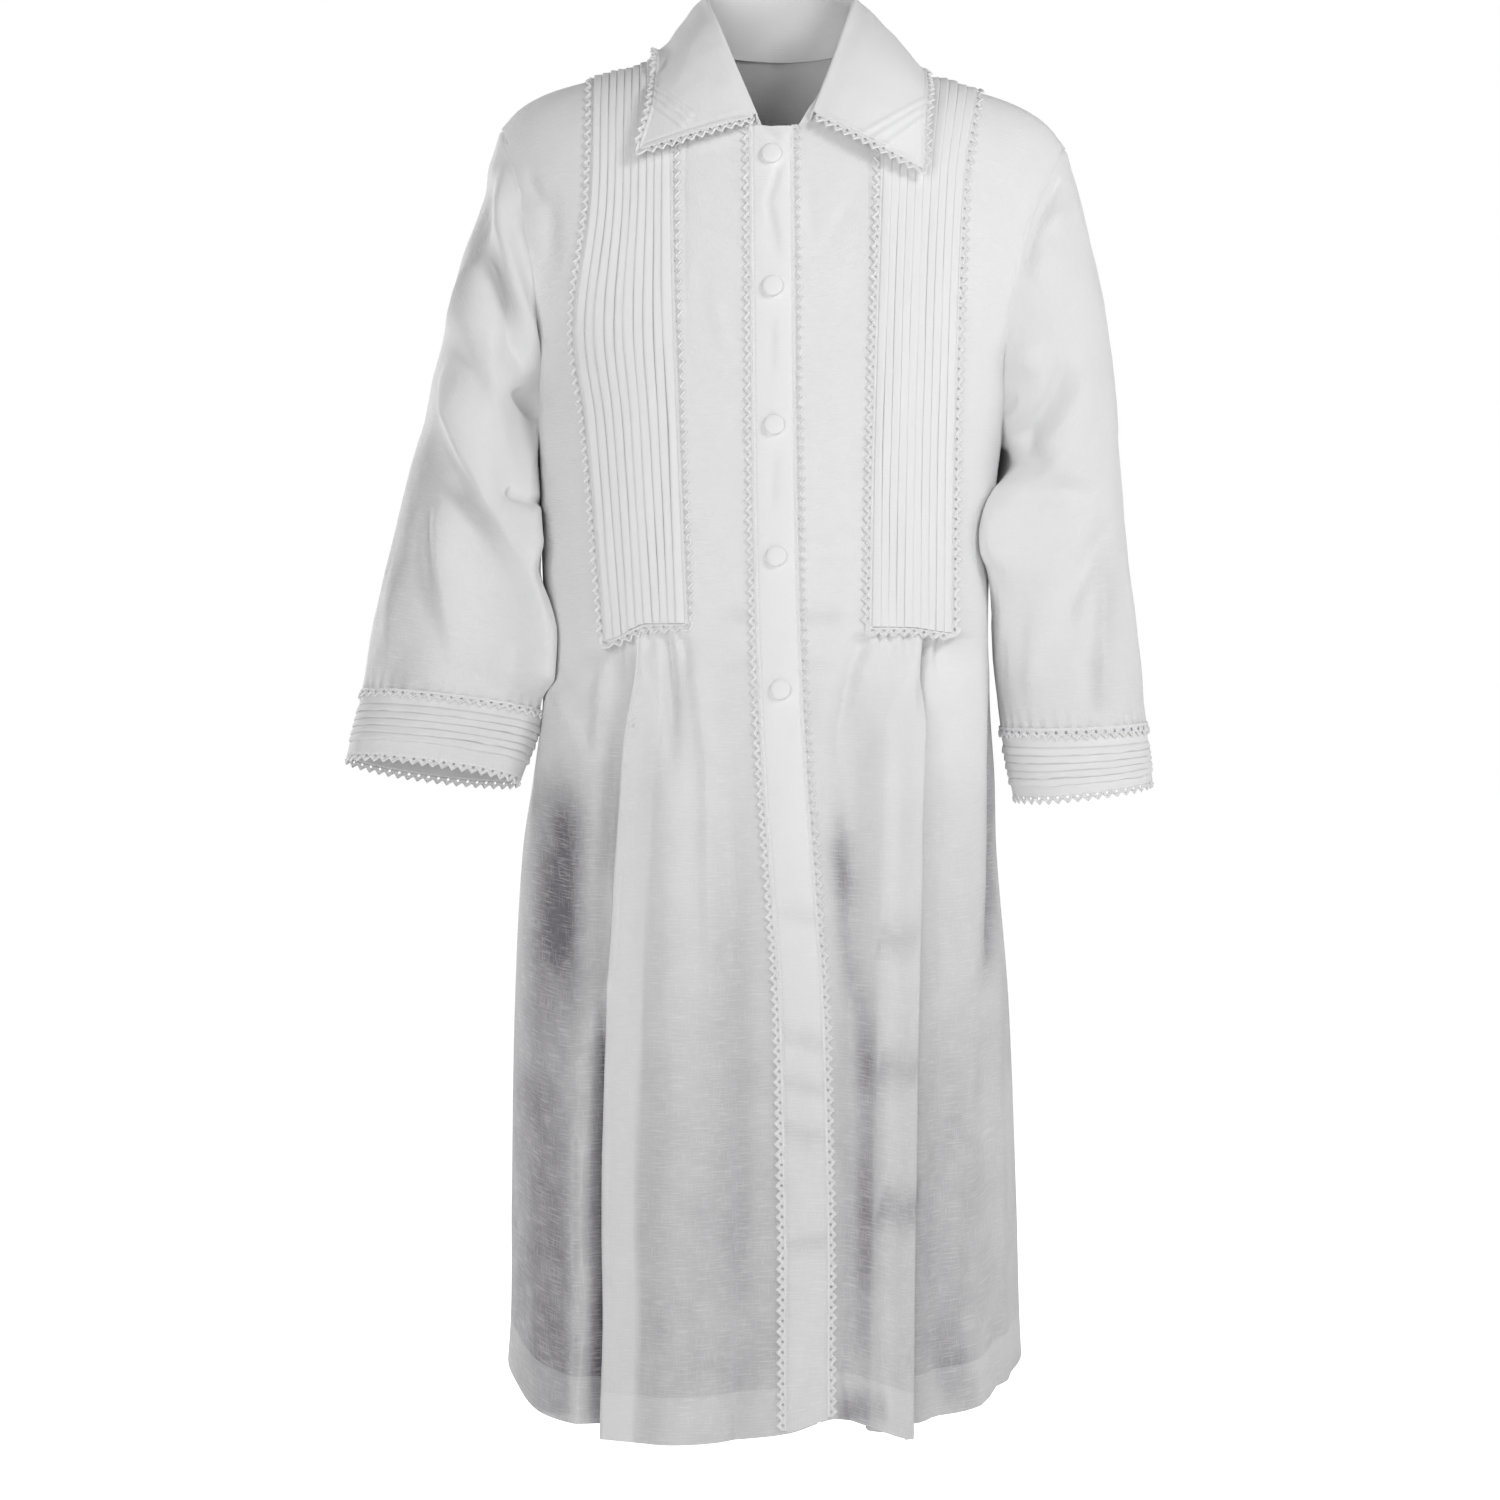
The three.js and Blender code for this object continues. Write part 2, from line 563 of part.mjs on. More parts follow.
// A strip that follows a line of x and height on the fronts
function frontStrip(line, from, to, lift, thickness) {
  const face = (side) =>
    line.map((z) =>
      [from, to].map((offset) =>
        onBody(placketX(z) + offset, z, -1, lift + (side * thickness) / 2),
      ),
    );
  return wallBetween(face(1), face(-1));
}

const placket = () =>
  frontStrip(placketRows, -placketWidth / 2, placketWidth / 2, placketLift, clothWall);

function placketLace(sign) {
  const near = placketWidth / 2 + seamGap;
  const far = near + laceWidth;
  return frontStrip(placketRows, Math.min(sign * near, sign * far), Math.max(sign * near, sign * far),
    laceLift, laceWall);
}

// Heights of a tucked band's rows: the panel's own, so that the band lies evenly on it
function bandHeights(xTop, foot) {
  const rows = columnHeights(hemMiddle, topHeight(xTop, -1)).slice(rowsDown.length);
  rows[0] = foot;
  return rows;
}

// A tucked band: flat behind, and a row of overlapping tucks in front with their free edges outwards
function tuckBand(side) {
  const reach = laceWidth / 2 + 2 * seamGap;
  const inner = (z) => readTable(side.bandInner, 'z', 'x', z) + side.sign * reach;
  const outer = (z) => readTable(side.bandOuter, 'z', 'x', z) - side.sign * reach;
  const stations = [];
  for (let k = 0; k < tuckCount; k += 1) {
    stations.push({ share: k / tuckCount, rise: 0 });
    stations.push({ share: (k + 0.82) / tuckCount, rise: tuckRise });
  }
  stations.push({ share: 1, rise: 0 });
  const face = (outside) =>
    turnGrid(stations.map(({ share, rise }) => {
      const xTop = mix(inner(neckPointHeight), outer(neckPointHeight), share);
      const heights = bandHeights(xTop, bandFoot + reach);
      const lift = outside ? bandLift + clothWall + rise : bandLift;
      return heights.map((z) => behindSeam(-1)(onBody(mix(inner(z), outer(z), share), z, -1, lift)));
    }));
  return wallBetween(face(true), face(false));
}

// Lace down the outer side, across the foot and up the inner side of a tucked band
function bandLace(side) {
  const outerX = (z) => readTable(side.bandOuter, 'z', 'x', z);
  const innerX = (z) => readTable(side.bandInner, 'z', 'x', z);
  const heights = (lineX) => bandHeights(lineX(neckPointHeight), bandFoot);
  const path = [
    ...heights(outerX).reverse().map((z) => ({ x: outerX(z), z })),
    ...[0.25, 0.5, 0.75].map((share) => (
      { x: mix(outerX(bandFoot), innerX(bandFoot), share), z: bandFoot })),
    ...heights(innerX).map((z) => ({ x: innerX(z), z })),
  ];
  const sideways = path.map((point, k) => {
    const before = path[Math.max(0, k - 1)];
    const after = path[Math.min(path.length - 1, k + 1)];
    const inward = new THREE.Vector2(point.x - before.x, point.z - before.z).normalize();
    const onward = new THREE.Vector2(after.x - point.x, after.z - point.z).normalize();
    if (k === 0) inward.copy(onward);
    if (k === path.length - 1) onward.copy(inward);
    const bisector = inward.clone().add(onward).normalize();
    const stretch = 1 / Math.max(0.5, inward.dot(bisector));
    return new THREE.Vector2(-bisector.y, bisector.x).multiplyScalar(stretch);
  });
  const face = (outside) =>
    path.map(({ x, z }, k) =>
      [-1, 1].map((edge) => {
        const shift = sideways[k].clone().multiplyScalar((edge * laceWidth) / 2);
        return behindSeam(-1)(onBody(x + shift.x, z + shift.y, -1, laceLift + (outside * laceWall) / 2));
      }),
    );
  return wallBetween(face(1), face(-1));
}

// ---- sleeves and cuffs ----

function sleeveFoldLift(name, row, turn) {
  let lift = 0;
  for (const fold of sleeveFolds[name]) {
    const share = (row - fold.fromRow) / (fold.toRow - fold.fromRow);
    const off = (turn - mix(fold.fromTurn, fold.toTurn, share)) / fold.width;
    lift += fold.height * ease(share * 4) * ease((1 - share) * 4) * Math.exp(-off * off);
  }
  return lift;
}

// A point of a sleeve: row runs from the armhole to the cuff's edge, turn from the top round by the front
function sleevePoint(name, row, turn) {
  const side = sides[name];
  const rows = sleeves[name].map((section, k) => ({ k, ...section }));
  const at = (key) => {
    if (row <= sleeveRows) return readTable(rows, 'k', key, row);
    return rows[sleeveRows][key] + (row - sleeveRows) * (rows[sleeveRows][key] - rows[cuffRow][key]);
  };
  const outwards = Math.cos(turn);
  const forwards = Math.sin(turn);
  const point = new THREE.Vector3(
    mix(at('inX'), at('outX'), (1 + outwards) / 2),
    at('y') - at('depth') * forwards,
    mix(at('inZ'), at('outZ'), (1 + outwards) / 2),
  );
  point.z += cuffFallBack * forwards * 0.5 * ease((row - 5) / (sleeveRows - 5));
  const radial = new THREE.Vector3(point.x, point.y - at('y'), point.z);
  radial.x -= (at('inX') + at('outX')) / 2;
  radial.z -= (at('inZ') + at('outZ')) / 2;
  point.addScaledVector(radial.normalize(), sleeveFoldLift(name, row, turn));
  const blend = 1 - ease(row / capBlend);
  if (blend > 0) {
    const drop = (1 - outwards) / 2;
    const z = mix(side.tip.z, underarm, drop);
    const facing = forwards >= 0 ? -1 : 1;
    const armhole = bodyPoint(side.sign * Math.abs(turnAt(armholeX(side, drop), z)), z, facing);
    const oval = new THREE.Vector3(
      mix(side.tip.x, bodyPoint(side.sign, underarm, -1).x, drop), -sleeves[name][0].depth * forwards, z);
    point.addScaledVector(armhole.sub(oval), blend);
    point.x += side.sign * armholeClear * blend;
  }
  return point;
}

// Turns round a sleeve that meet the rows of the panels at the armhole
const frontTurns = [...rowsUp].reverse().map((share) => Math.acos(2 * share - 1));
const backTurns = frontTurns.slice(1).reverse().map((turn) => 2 * Math.PI - turn);
const ringTurns = [...frontTurns, Math.PI, ...backTurns];

function sleeveMiddle(name, row) {
  return sleevePoint(name, row, 0).add(sleevePoint(name, row, Math.PI)).multiplyScalar(0.5);
}

function sleeveWall(name, rows, thickness, lift = 0) {
  const grid = rows.map((row) => ringTurns.map((turn) => sleevePoint(name, row, turn)));
  const away = sleeveMiddle(name, rows[Math.floor(rows.length / 2)]);
  const normals = gridNormals(grid, true, away);
  const face = (side) =>
    grid.map((ring, i) =>
      ring.map((point, j) => point.clone().addScaledVector(normals[i][j], lift + (side * thickness) / 2)),
    );
  return wallBetween(face(1), face(-1), true);
}

// Rows per millimetre along the cuff, to turn a width into a share of a row
const cuffLength = (name) => sleeveMiddle(name, cuffRow).distanceTo(sleeveMiddle(name, sleeveRows));
const cuffShare = (name, length) => length / cuffLength(name);

function sleeve(name) {
  const last = cuffRow - cuffShare(name, seamGap);
  return sleeveWall(name, [0, 0.35, 0.9, 1.6, 2.4, 3.3, 4.3, 5.4, 6.6, last], clothWall);
}

const cuff = (name) => sleeveWall(name, [cuffRow, sleeveRows], clothWall);

function cuffLace(name) {
  const near = sleeveRows + cuffShare(name, seamGap);
  return sleeveWall(name, [near, near + cuffShare(name, laceWidth)], laceWall);
}

function cuffInsert(name) {
  const half = cuffShare(name, laceWidth / 2);
  return sleeveWall(name, [cuffRow - half, cuffRow + half], laceWall, laceLift);
}

// ---- collar ----

// Seam, fold and free edge at one share of the collar, -1 and 1 at the front ends and 0 at the back
function collarLines(share) {
  const rows = share < 0 ? collarStations.right : collarStations.left;
  const at = Math.abs(share);
  const stations = rows.map((row, k) => ({ at: k / (rows.length - 1), ...row }));
  const read = (key) => readTable(stations, 'at', key, at);
  const fold = new THREE.Vector3(read('foldX'), read('foldY'), read('foldZ'));
  const edge = new THREE.Vector3(read('edgeX'), read('edgeY'), read('edgeZ'));
  return { seam: neckSeam(share < 0 ? -1 : 1, read('seam'), Math.abs(fold.x)), fold, edge };
}

// The neckline at a share from the middle of the back, 0, by the neck point, 0.5, to the front end, 1
function neckSeam(sign, share, frontEnd) {
  const facing = share < 0.5 ? 1 : -1;
  const round = share < 0.5 ? share * Math.PI : (1 - share) * Math.PI;
  const reach = neckHalf * Math.sin(round);
  const x = sign * (share < 0.5 ? reach : Math.max(reach, frontEnd * ease((share - 0.86) / 0.14)));
  const point = onBody(x, neckHeight(x, facing), facing, 0);
  const inward = 1.6;
  const lifted = 2.2;
  return point.add(new THREE.Vector3(-Math.sign(x) * inward, -facing * 0.5 * inward, lifted));
}

// Across the collar: up the stand from the seam, then down the fall from the fold to the free edge
const acrossStand = [0, 0.5, 0.95];
const acrossFall = [0, 0.1, 0.38, 0.7, 1];
const collarBulge = 7;
const foldRoom = 4; // space between stand and fall beside the fold

function collarPoint(share, part, along) {
  const { seam, fold, edge } = collarLines(share);
  const outward = new THREE.Vector3(fold.x, fold.y, 0).normalize();
  if (part === 'stand') {
    const inner = fold.clone().addScaledVector(outward, -foldRoom / 2);
    inner.z -= foldRoom / 3;
    return seam.lerp(inner, along);
  }
  const point = fold.clone().lerp(edge, along);
  const roomy = foldRoom * 0.6 * Math.min(1, along / 0.1);
  const bulge = collarBulge * Math.sin(Math.PI * along);
  return clearOfBody(point.addScaledVector(outward, roomy + bulge));
}

// Keep a point of the collar at least collarClear outside the panels
function clearOfBody(point) {
  const facing = point.y < 0 ? -1 : 1;
  const ridge = shoulderHeight(point.x);
  if (Math.abs(point.x) < neckHalf && point.z > neckHeight(point.x, facing)) return point;
  if (point.z > ridge + collarClear) return point;
  const surface = onBody(point.x, Math.min(point.z, ridge - 1), facing, collarClear);
  if (point.y * facing < surface.y * facing) point.y = surface.y;
  if (point.z < surface.z) point.z = surface.z;
  return point;
}

const collarShares = Array.from({ length: collarSteps + 1 }, (_, k) => (2 * k) / collarSteps - 1);

// One part of the collar, all the way round from the right front end to the left
function collarPart(part, across) {
  const grid = collarShares.map((share) => across.map((along) => collarPoint(share, part, along)));
  return wallRound(grid, clothWall, { away: new THREE.Vector3(0, 0, -40) });
}

// Free edges of the collar in order: down the right front end, round the back, up the left front end
function collarLace() {
  const ends = acrossFall.slice(1, -1);
  const places = [
    ...ends.map((along) => ({ share: -1, along })),
    ...collarShares.map((share) => ({ share, along: 1 })),
    ...[...ends].reverse().map((along) => ({ share: 1, along })),
  ];
  const edge = places.map(({ share, along }) => collarPoint(share, 'fall', along));
  const inside = places.map(({ share, along }) => {
    const nearer = Math.sign(share) * Math.max(0, Math.abs(share) - 0.06);
    return collarPoint(nearer, 'fall', along * 0.85);
  });
  const face = (outside) =>
    edge.map((point, k) => {
      const before = edge[Math.max(0, k - 1)];
      const after = edge[Math.min(edge.length - 1, k + 1)];
      const tangent = after.clone().sub(before).normalize();
      const corner = Math.abs(places[k].share) === 1 && places[k].along === 1 ? 1.35 : 1;
      const outwards = point.clone().sub(inside[k]);
      outwards.addScaledVector(tangent, -outwards.dot(tangent)).normalize();
      const normal = tangent.clone().cross(outwards).normalize();
      if (normal.z + Math.sign(point.y) * normal.y * 0.5 < 0) normal.negate();
      const near = point.clone().addScaledVector(outwards, collarLaceRoom * corner);
      const far = clearOfBody(point.clone().addScaledVector(outwards, laceWidth * corner));
      return [near, far].map((place) => place.addScaledVector(normal, (outside * laceWall) / 2));
    });
  return wallBetween(face(1), face(-1));
}

// ---- buttons ----

// A domed button: flat underneath, rounded on top, its axis along +Z before it is turned
function buttonShape() {
  const profile = [new THREE.Vector2(0, 0), new THREE.Vector2(buttonRadius * 0.82, 0)];
  for (const angle of [0, 40]) {
    const radians = (angle * Math.PI) / 180;
    profile.push(new THREE.Vector2(
      buttonRadius * Math.cos(radians), 1.6 + (buttonHeight - 1.6) * Math.sin(radians)));
  }
  profile.push(new THREE.Vector2(0, buttonHeight));
  return new THREE.LatheGeometry(profile, 10).rotateX(Math.PI / 2);
}

// ---- assembly ----

const robe = new THREE.Group();

function addPiece(name, geometry, colour, roughness) {
  const material = new THREE.MeshStandardMaterial({ color: colour, roughness, metalness: 0 });
  const mesh = new THREE.Mesh(geometry, material);
  mesh.name = name;
  robe.add(mesh);
  return mesh;
}

for (const name of ['right', 'left']) {
  addPiece(`front_${name}`, front(sides[name]), colours.cloth, 0.9);
  addPiece(`sleeve_${name}`, sleeve(name), colours.cloth, 0.9);
  addPiece(`cuff_${name}`, cuff(name), colours.cloth, 0.9);
  addPiece(`tuck_band_${name}`, tuckBand(sides[name]), colours.cloth, 0.9);
  addPiece(`lace_band_${name}`, bandLace(sides[name]), colours.lace, 0.85);
  addPiece(`lace_placket_${name}`, placketLace(sides[name].sign), colours.lace, 0.85);
  addPiece(`lace_cuff_${name}`, cuffLace(name), colours.lace, 0.85);
  addPiece(`lace_insert_${name}`, cuffInsert(name), colours.lace, 0.85);
}
addPiece('back', back(), colours.cloth, 0.9);
addPiece('placket', placket(), colours.cloth, 0.9);
addPiece('collar_stand', collarPart('stand', acrossStand), colours.cloth, 0.9);
addPiece('collar', collarPart('fall', acrossFall), colours.cloth, 0.9);
addPiece('lace_collar', collarLace(), colours.lace, 0.85);

buttonHeights.forEach((z, k) => {
  const mesh = addPiece(`button_${k + 1}`, buttonShape(), colours.button, 0.7);
  const x = placketX(z);
  mesh.position.copy(onBody(x, z, -1, placketLift + clothWall / 2 + 0.5));
  const facing = bodyNormal(turnAt(x, z), z, -1);
  mesh.quaternion.setFromUnitVectors(new THREE.Vector3(0, 0, 1), facing);
});

export default robe;
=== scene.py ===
# A long white linen robe, worn and buttoned: tucked bands, crochet lace, knife pleats and a pointed collar.
# Lengths are worked out in millimetres, with the same sizes as the frame, and become metres in the meshes.
import math
import bpy
import numpy as np
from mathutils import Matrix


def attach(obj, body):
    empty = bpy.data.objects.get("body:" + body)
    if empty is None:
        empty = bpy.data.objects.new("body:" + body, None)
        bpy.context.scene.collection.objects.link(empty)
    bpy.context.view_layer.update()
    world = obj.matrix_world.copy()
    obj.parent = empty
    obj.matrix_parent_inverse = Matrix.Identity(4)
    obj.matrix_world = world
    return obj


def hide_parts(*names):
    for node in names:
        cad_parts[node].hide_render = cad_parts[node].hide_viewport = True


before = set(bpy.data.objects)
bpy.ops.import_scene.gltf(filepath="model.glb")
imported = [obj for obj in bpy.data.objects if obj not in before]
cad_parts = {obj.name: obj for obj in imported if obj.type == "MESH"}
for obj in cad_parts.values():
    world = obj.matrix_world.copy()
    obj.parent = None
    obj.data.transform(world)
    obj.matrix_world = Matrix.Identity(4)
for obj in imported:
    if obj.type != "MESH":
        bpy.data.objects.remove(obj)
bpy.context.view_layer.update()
print("frame loaded:", len(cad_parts), "nodes")


def ease(share):
    # Smooth step: 0 below 0, 1 above 1, and 3t^2 - 2t^3 between
    t = np.clip(share, 0.0, 1.0)
    return t * t * (3 - 2 * t)


def below(z, start, over):
    # 0 above a starting height, 1 from this far below it downwards
    return ease((start - z) / over)


def mix(a, b, share):
    # From a to b by a share: a + (b - a) * share
    return a + (b - a) * share


def hill(offset, width):
    # Bell curve: exp(-(offset / width)^2)
    return np.exp(-((offset / width) ** 2))


def readTable(table, key, at, by="z"):
    # Cubic through the rows of a table, each slope taken from the two neighbours
    place, value = np.array(table[by], float), np.array(table[key], float)
    if place[0] > place[-1]:
        place, value = place[::-1], value[::-1]
    slope = np.gradient(value) / np.gradient(place)
    t = np.clip(at, place[0], place[-1])
    k = np.clip(np.searchsorted(place, t, side="right") - 1, 0, len(place) - 2)
    step = place[k + 1] - place[k]
    u = (t - place[k]) / step
    bend = u * (1 - u) ** 2 * slope[k] - u * u * (1 - u) * slope[k + 1]
    return mix(value[k], value[k + 1], ease(u)) + step * bend


def unit(vectors):
    # Each direction divided by its length
    return vectors / np.maximum(np.linalg.norm(vectors, axis=-1, keepdims=True), 1e-9)


def points(x, y, z):
    # Three coordinates, each spread over the same grid, as one grid of points
    return np.stack(np.broadcast_arrays(x, y, z), axis=-1).astype(float)


def reachedAlong(line):
    # Length along a line of points, at each of them
    return np.concatenate([[0], np.cumsum(np.linalg.norm(np.diff(line, axis=0), axis=1))])


def resampled(at, reached, grid):
    # Each coordinate of a line of points, read at these lengths
    return np.stack([np.interp(at, reached, values) for values in grid.T], axis=-1)


def smoothed(grid, span):
    # Running mean of a line of points under a bell as many points wide as span
    kernel = np.hanning(span) / np.hanning(span).sum()
    padded = [np.pad(values, span // 2, "edge") for values in grid.T]
    return np.stack([np.convolve(values, kernel, "valid") for values in padded], axis=1)


def softNoise(u, v, seed):
    # Smooth random hills one unit across, between -1 and 1
    size = 64  # hills before the lattice repeats
    lattice = np.random.default_rng(seed).uniform(-1, 1, (size, size))
    iu, iv = np.floor(u).astype(int), np.floor(v).astype(int)
    fu, fv = ease(u - iu), ease(v - iv)
    pick = lambda a, b: lattice[(iu + a) % size, (iv + b) % size]
    return mix(mix(pick(0, 0), pick(1, 0), fu), mix(pick(0, 1), pick(1, 1), fu), fv)


def crumple(u, v, seed):
    # Two layers of noise, the second turned and finer, so that no rows of hills show
    turned = softNoise(1.9 * u + 1.3 * v + 7, 1.9 * v - 1.3 * u + 3, seed + 1)
    return 0.68 * softNoise(u, v, seed) + 0.32 * turned


# The columns of a table of folds. Most rows leave out the last one, which is then 1.
foldColumns = ("line", "width", "height", "fade", "spread")


def foldField(x, z, folds):
    # Sum of folds. Each follows its line of (x, z) points from top to bottom. Its height falls off to both
    # sides as exp(-(distance / width)^2), with one width or (viewer's left, right). It fades in and out over
    # these shares of its length, and its spread says how many times wider it ends than it starts.
    x, z = np.broadcast_arrays(x, z)
    total = np.zeros(x.shape)
    for row in folds:
        fold = dict(zip(foldColumns, row))
        line, width, height = np.array(fold["line"], float), fold["width"], fold["height"]
        fadeIn, fadeOut = fold["fade"]
        legs = np.linalg.norm(np.diff(line, axis=0), axis=1)
        reached = np.concatenate([[0], np.cumsum(legs)])
        nearest, side, share = np.full(x.shape, 1e9), np.zeros(x.shape), np.zeros(x.shape)
        for k, leg in enumerate(legs):
            ahead = (line[k + 1] - line[k]) / leg
            dx, dz = x - line[k, 0], z - line[k, 1]
            along = np.clip(dx * ahead[0] + dz * ahead[1], 0, leg)
            apart = np.hypot(dx - along * ahead[0], dz - along * ahead[1])
            closer = apart < nearest
            nearest = np.where(closer, apart, nearest)
            side = np.where(closer, dz * ahead[0] - dx * ahead[1], side)
            share = np.where(closer, (reached[k] + along) / reached[-1], share)
        left, right = width if isinstance(width, tuple) else (width, width)
        width = np.where(side > 0, right, left) * mix(1.0, fold.get("spread", 1.0), share)
        height = height * ease(share / fadeIn) * ease((1 - share) / fadeOut)
        total += height * hill(nearest, width)
    return total


def difference(grid, axis, wrapped):
    # Half the step from the point before to the point after, also across the join of a closed grid
    if not wrapped:
        return np.gradient(grid, axis=axis)
    return (np.roll(grid, -1, axis) - np.roll(grid, 1, axis)) / 2


def gridNormals(grid, outwards, wrapped=False):
    # Directions square to a grid of points, on the side that a direction at its middle points to
    normals = unit(np.cross(difference(grid, 1, wrapped), difference(grid, 0, False)))
    i, j = grid.shape[0] // 2, outwards[0]
    return normals * np.sign(normals[i, j] @ np.array(outwards[1], float))


def addShell(name, grid, normals, thickness, uv, material, attributes, wrapped, cells):
    # A closed wall of even thickness on a grid of points: an outer and an inner face for every cell,
    # and a rim wherever a cell has no neighbour. uv is in metres along the cloth.
    rows, columns = grid.shape[:2]
    if cells is None:
        cells = np.ones((rows - 1, columns if wrapped else columns - 1), bool)
    at = lambda i, j: i * columns + j % columns
    i, j = np.nonzero(cells)
    corners = np.stack([at(i, j), at(i, j + 1), at(i + 1, j + 1), at(i + 1, j)], axis=1)
    count = rows * columns
    faces = [corners, corners[:, ::-1] + count]
    beside = np.pad(cells, 1)
    if wrapped:
        beside[1:-1, 0], beside[1:-1, -1] = cells[:, -1], cells[:, 0]
    for edge, (di, dj) in enumerate([(-1, 0), (0, 1), (1, 0), (0, -1)]):
        bare = ~beside[i + 1 + di, j + 1 + dj]
        a, b = corners[bare, edge], corners[bare, (edge + 1) % 4]
        faces.append(np.stack([b, a, a + count, b + count], axis=1))
    faces = np.concatenate(faces)
    across, down = difference(grid, 1, wrapped), difference(grid, 0, False)
    middle = (rows // 2, columns // 2)
    if np.cross(across[middle], down[middle]) @ normals[middle] < 0:
        faces = faces[:, ::-1]
    place = np.concatenate([(grid + normals * thickness / 2).reshape(-1, 3),
                            (grid - normals * thickness / 2).reshape(-1, 3)])
    used = np.zeros(2 * count, bool)
    used[faces.ravel()] = True
    renumber = np.cumsum(used) - 1
    values = {key: np.tile(np.broadcast_to(value, (rows, columns)).ravel(), 2)[used]
              for key, value in attributes.items()}
    return addMesh(name, place[used] / 1000, renumber[faces], np.tile(uv.reshape(-1, 2), (2, 1))[used],
                   material, values)


def addMesh(name, place, faces, uv, material, attributes):
    # One object from arrays of points in metres, faces, a uv for each point and values for the materials
    mesh = bpy.data.meshes.new(name)
    mesh.vertices.add(len(place))
    mesh.vertices.foreach_set("co", place.astype(np.float32).ravel())
    mesh.loops.add(faces.size)
    mesh.loops.foreach_set("vertex_index", faces.astype(np.int32).ravel())
    mesh.polygons.add(len(faces))
    mesh.polygons.foreach_set("loop_start", np.arange(0, faces.size, faces.shape[1], dtype=np.int32))
    mesh.update(calc_edges=True)
    mesh.polygons.foreach_set("use_smooth", np.ones(len(faces), bool))
    layer = mesh.uv_layers.new(name="cloth")
    layer.data.foreach_set("uv", uv[faces.ravel()].astype(np.float32).ravel())
    for key, value in attributes.items():
        mesh.attributes.new(key, "FLOAT", "POINT").data.foreach_set("value", value.astype(np.float32))
    mesh.set_sharp_from_angle(angle=math.radians(56))
    mesh.validate()
    mesh.materials.append(material)
    piece = bpy.data.objects.new(name, mesh)
    bpy.context.scene.collection.objects.link(piece)
    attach(piece, "root")
    return piece


def clothUv(grid):
    # Lengths along the cloth in metres: across each row from its first column, and down each column
    across = np.linalg.norm(np.diff(grid, axis=1), axis=-1)
    down = np.linalg.norm(np.diff(grid, axis=0), axis=-1)
    u = np.pad(np.cumsum(across, axis=1), ((0, 0), (1, 0)))
    v = np.pad(np.cumsum(down, axis=0), ((1, 0), (0, 0)))
    v = np.broadcast_to(np.median(v, axis=1, keepdims=True), u.shape)
    return np.stack([u, v], axis=-1) / 1000


def sewnPiece(name, nodes, grid, outwards, thickness, material, shown, uv=None, stitched=None,
              wrapped=False, cells=None):
    # The shell of one cut piece, which stands for these nodes. Stitched is the side of uv its stitches run along.
    uv = clothUv(grid) if uv is None else uv
    if stitched is not None:
        shown = {**shown, "along": uv[..., stitched] * 1000}
    normals = gridNormals(grid, outwards, wrapped)
    piece = addShell(name, grid, normals, thickness, uv, material, shown, wrapped, cells)
    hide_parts(*nodes)
    return piece


# Materials

def hexColour(text):
    # sRGB hex to linear: c / 12.92 when dark, else ((c + 0.055) / 1.055) ^ 2.4
    parts = [int(text[k:k + 2], 16) / 255 for k in (1, 3, 5)]
    return [c / 12.92 if c <= 0.04045 else ((c + 0.055) / 1.055) ** 2.4 for c in parts] + [1.0]


def addNode(material, kind, settings=None, **links):
    # Adds a node: settings by property name, sockets by name or number with a value or another node's output
    node = material.node_tree.nodes.new(kind)
    for key, value in (settings or {}).items():
        setattr(node, key, value)
    for key, value in links.items():
        numbered = key[0] == "i" and key[1:].isdigit()
        socket = node.inputs[int(key[1:]) if numbered else key.replace("_", " ")]
        if isinstance(value, bpy.types.NodeSocket):
            material.node_tree.links.new(value, socket)
        else:
            socket.default_value = value
    return node


def newMaterial(name):
    # A material with no nodes yet
    material = bpy.data.materials.new(name)
    material.use_nodes = True
    material.node_tree.nodes.clear()
    return material


# Plain woven linen, bleached: matt, soft white, with thicker slub threads. Thread pitch is really about
# 0.5 mm; the weave here is drawn at 1.5 mm so that it can show. Lengths in metres, pairs from low to high.
# The sheer grey is mixed in where a single layer shows through, and where shade is painted in hollows, creases and
# grooves.
linen = {
    "white": "#F5F5F5", "sheerShade": "#79757C", "pitch": 0.0015, "weaveDepth": 0.22, "ior": 1.53,
    "slubLong": 0.019, "slubThick": 0.0011, "weftSlubs": (0.46, 0.72), "warpSlubs": (0.5, 0.76), "warpShare": 0.8,
    "clouds": (0.03, 0.042), "cloudLeast": 0.73, "cloudAdds": 0.5, "greyMost": 1.1, "slubHides": 0.36,
    "stitchAway": (1.5, 0.2), "stitchLong": 1.5, "dash": (0.35, 0.8), "grooveDepth": 1.5, "dashDepth": 1.1,
    "bump": 0.55, "bumpDepth": 0.0004, "roughness": 0.82, "slubRough": 0.08,
}


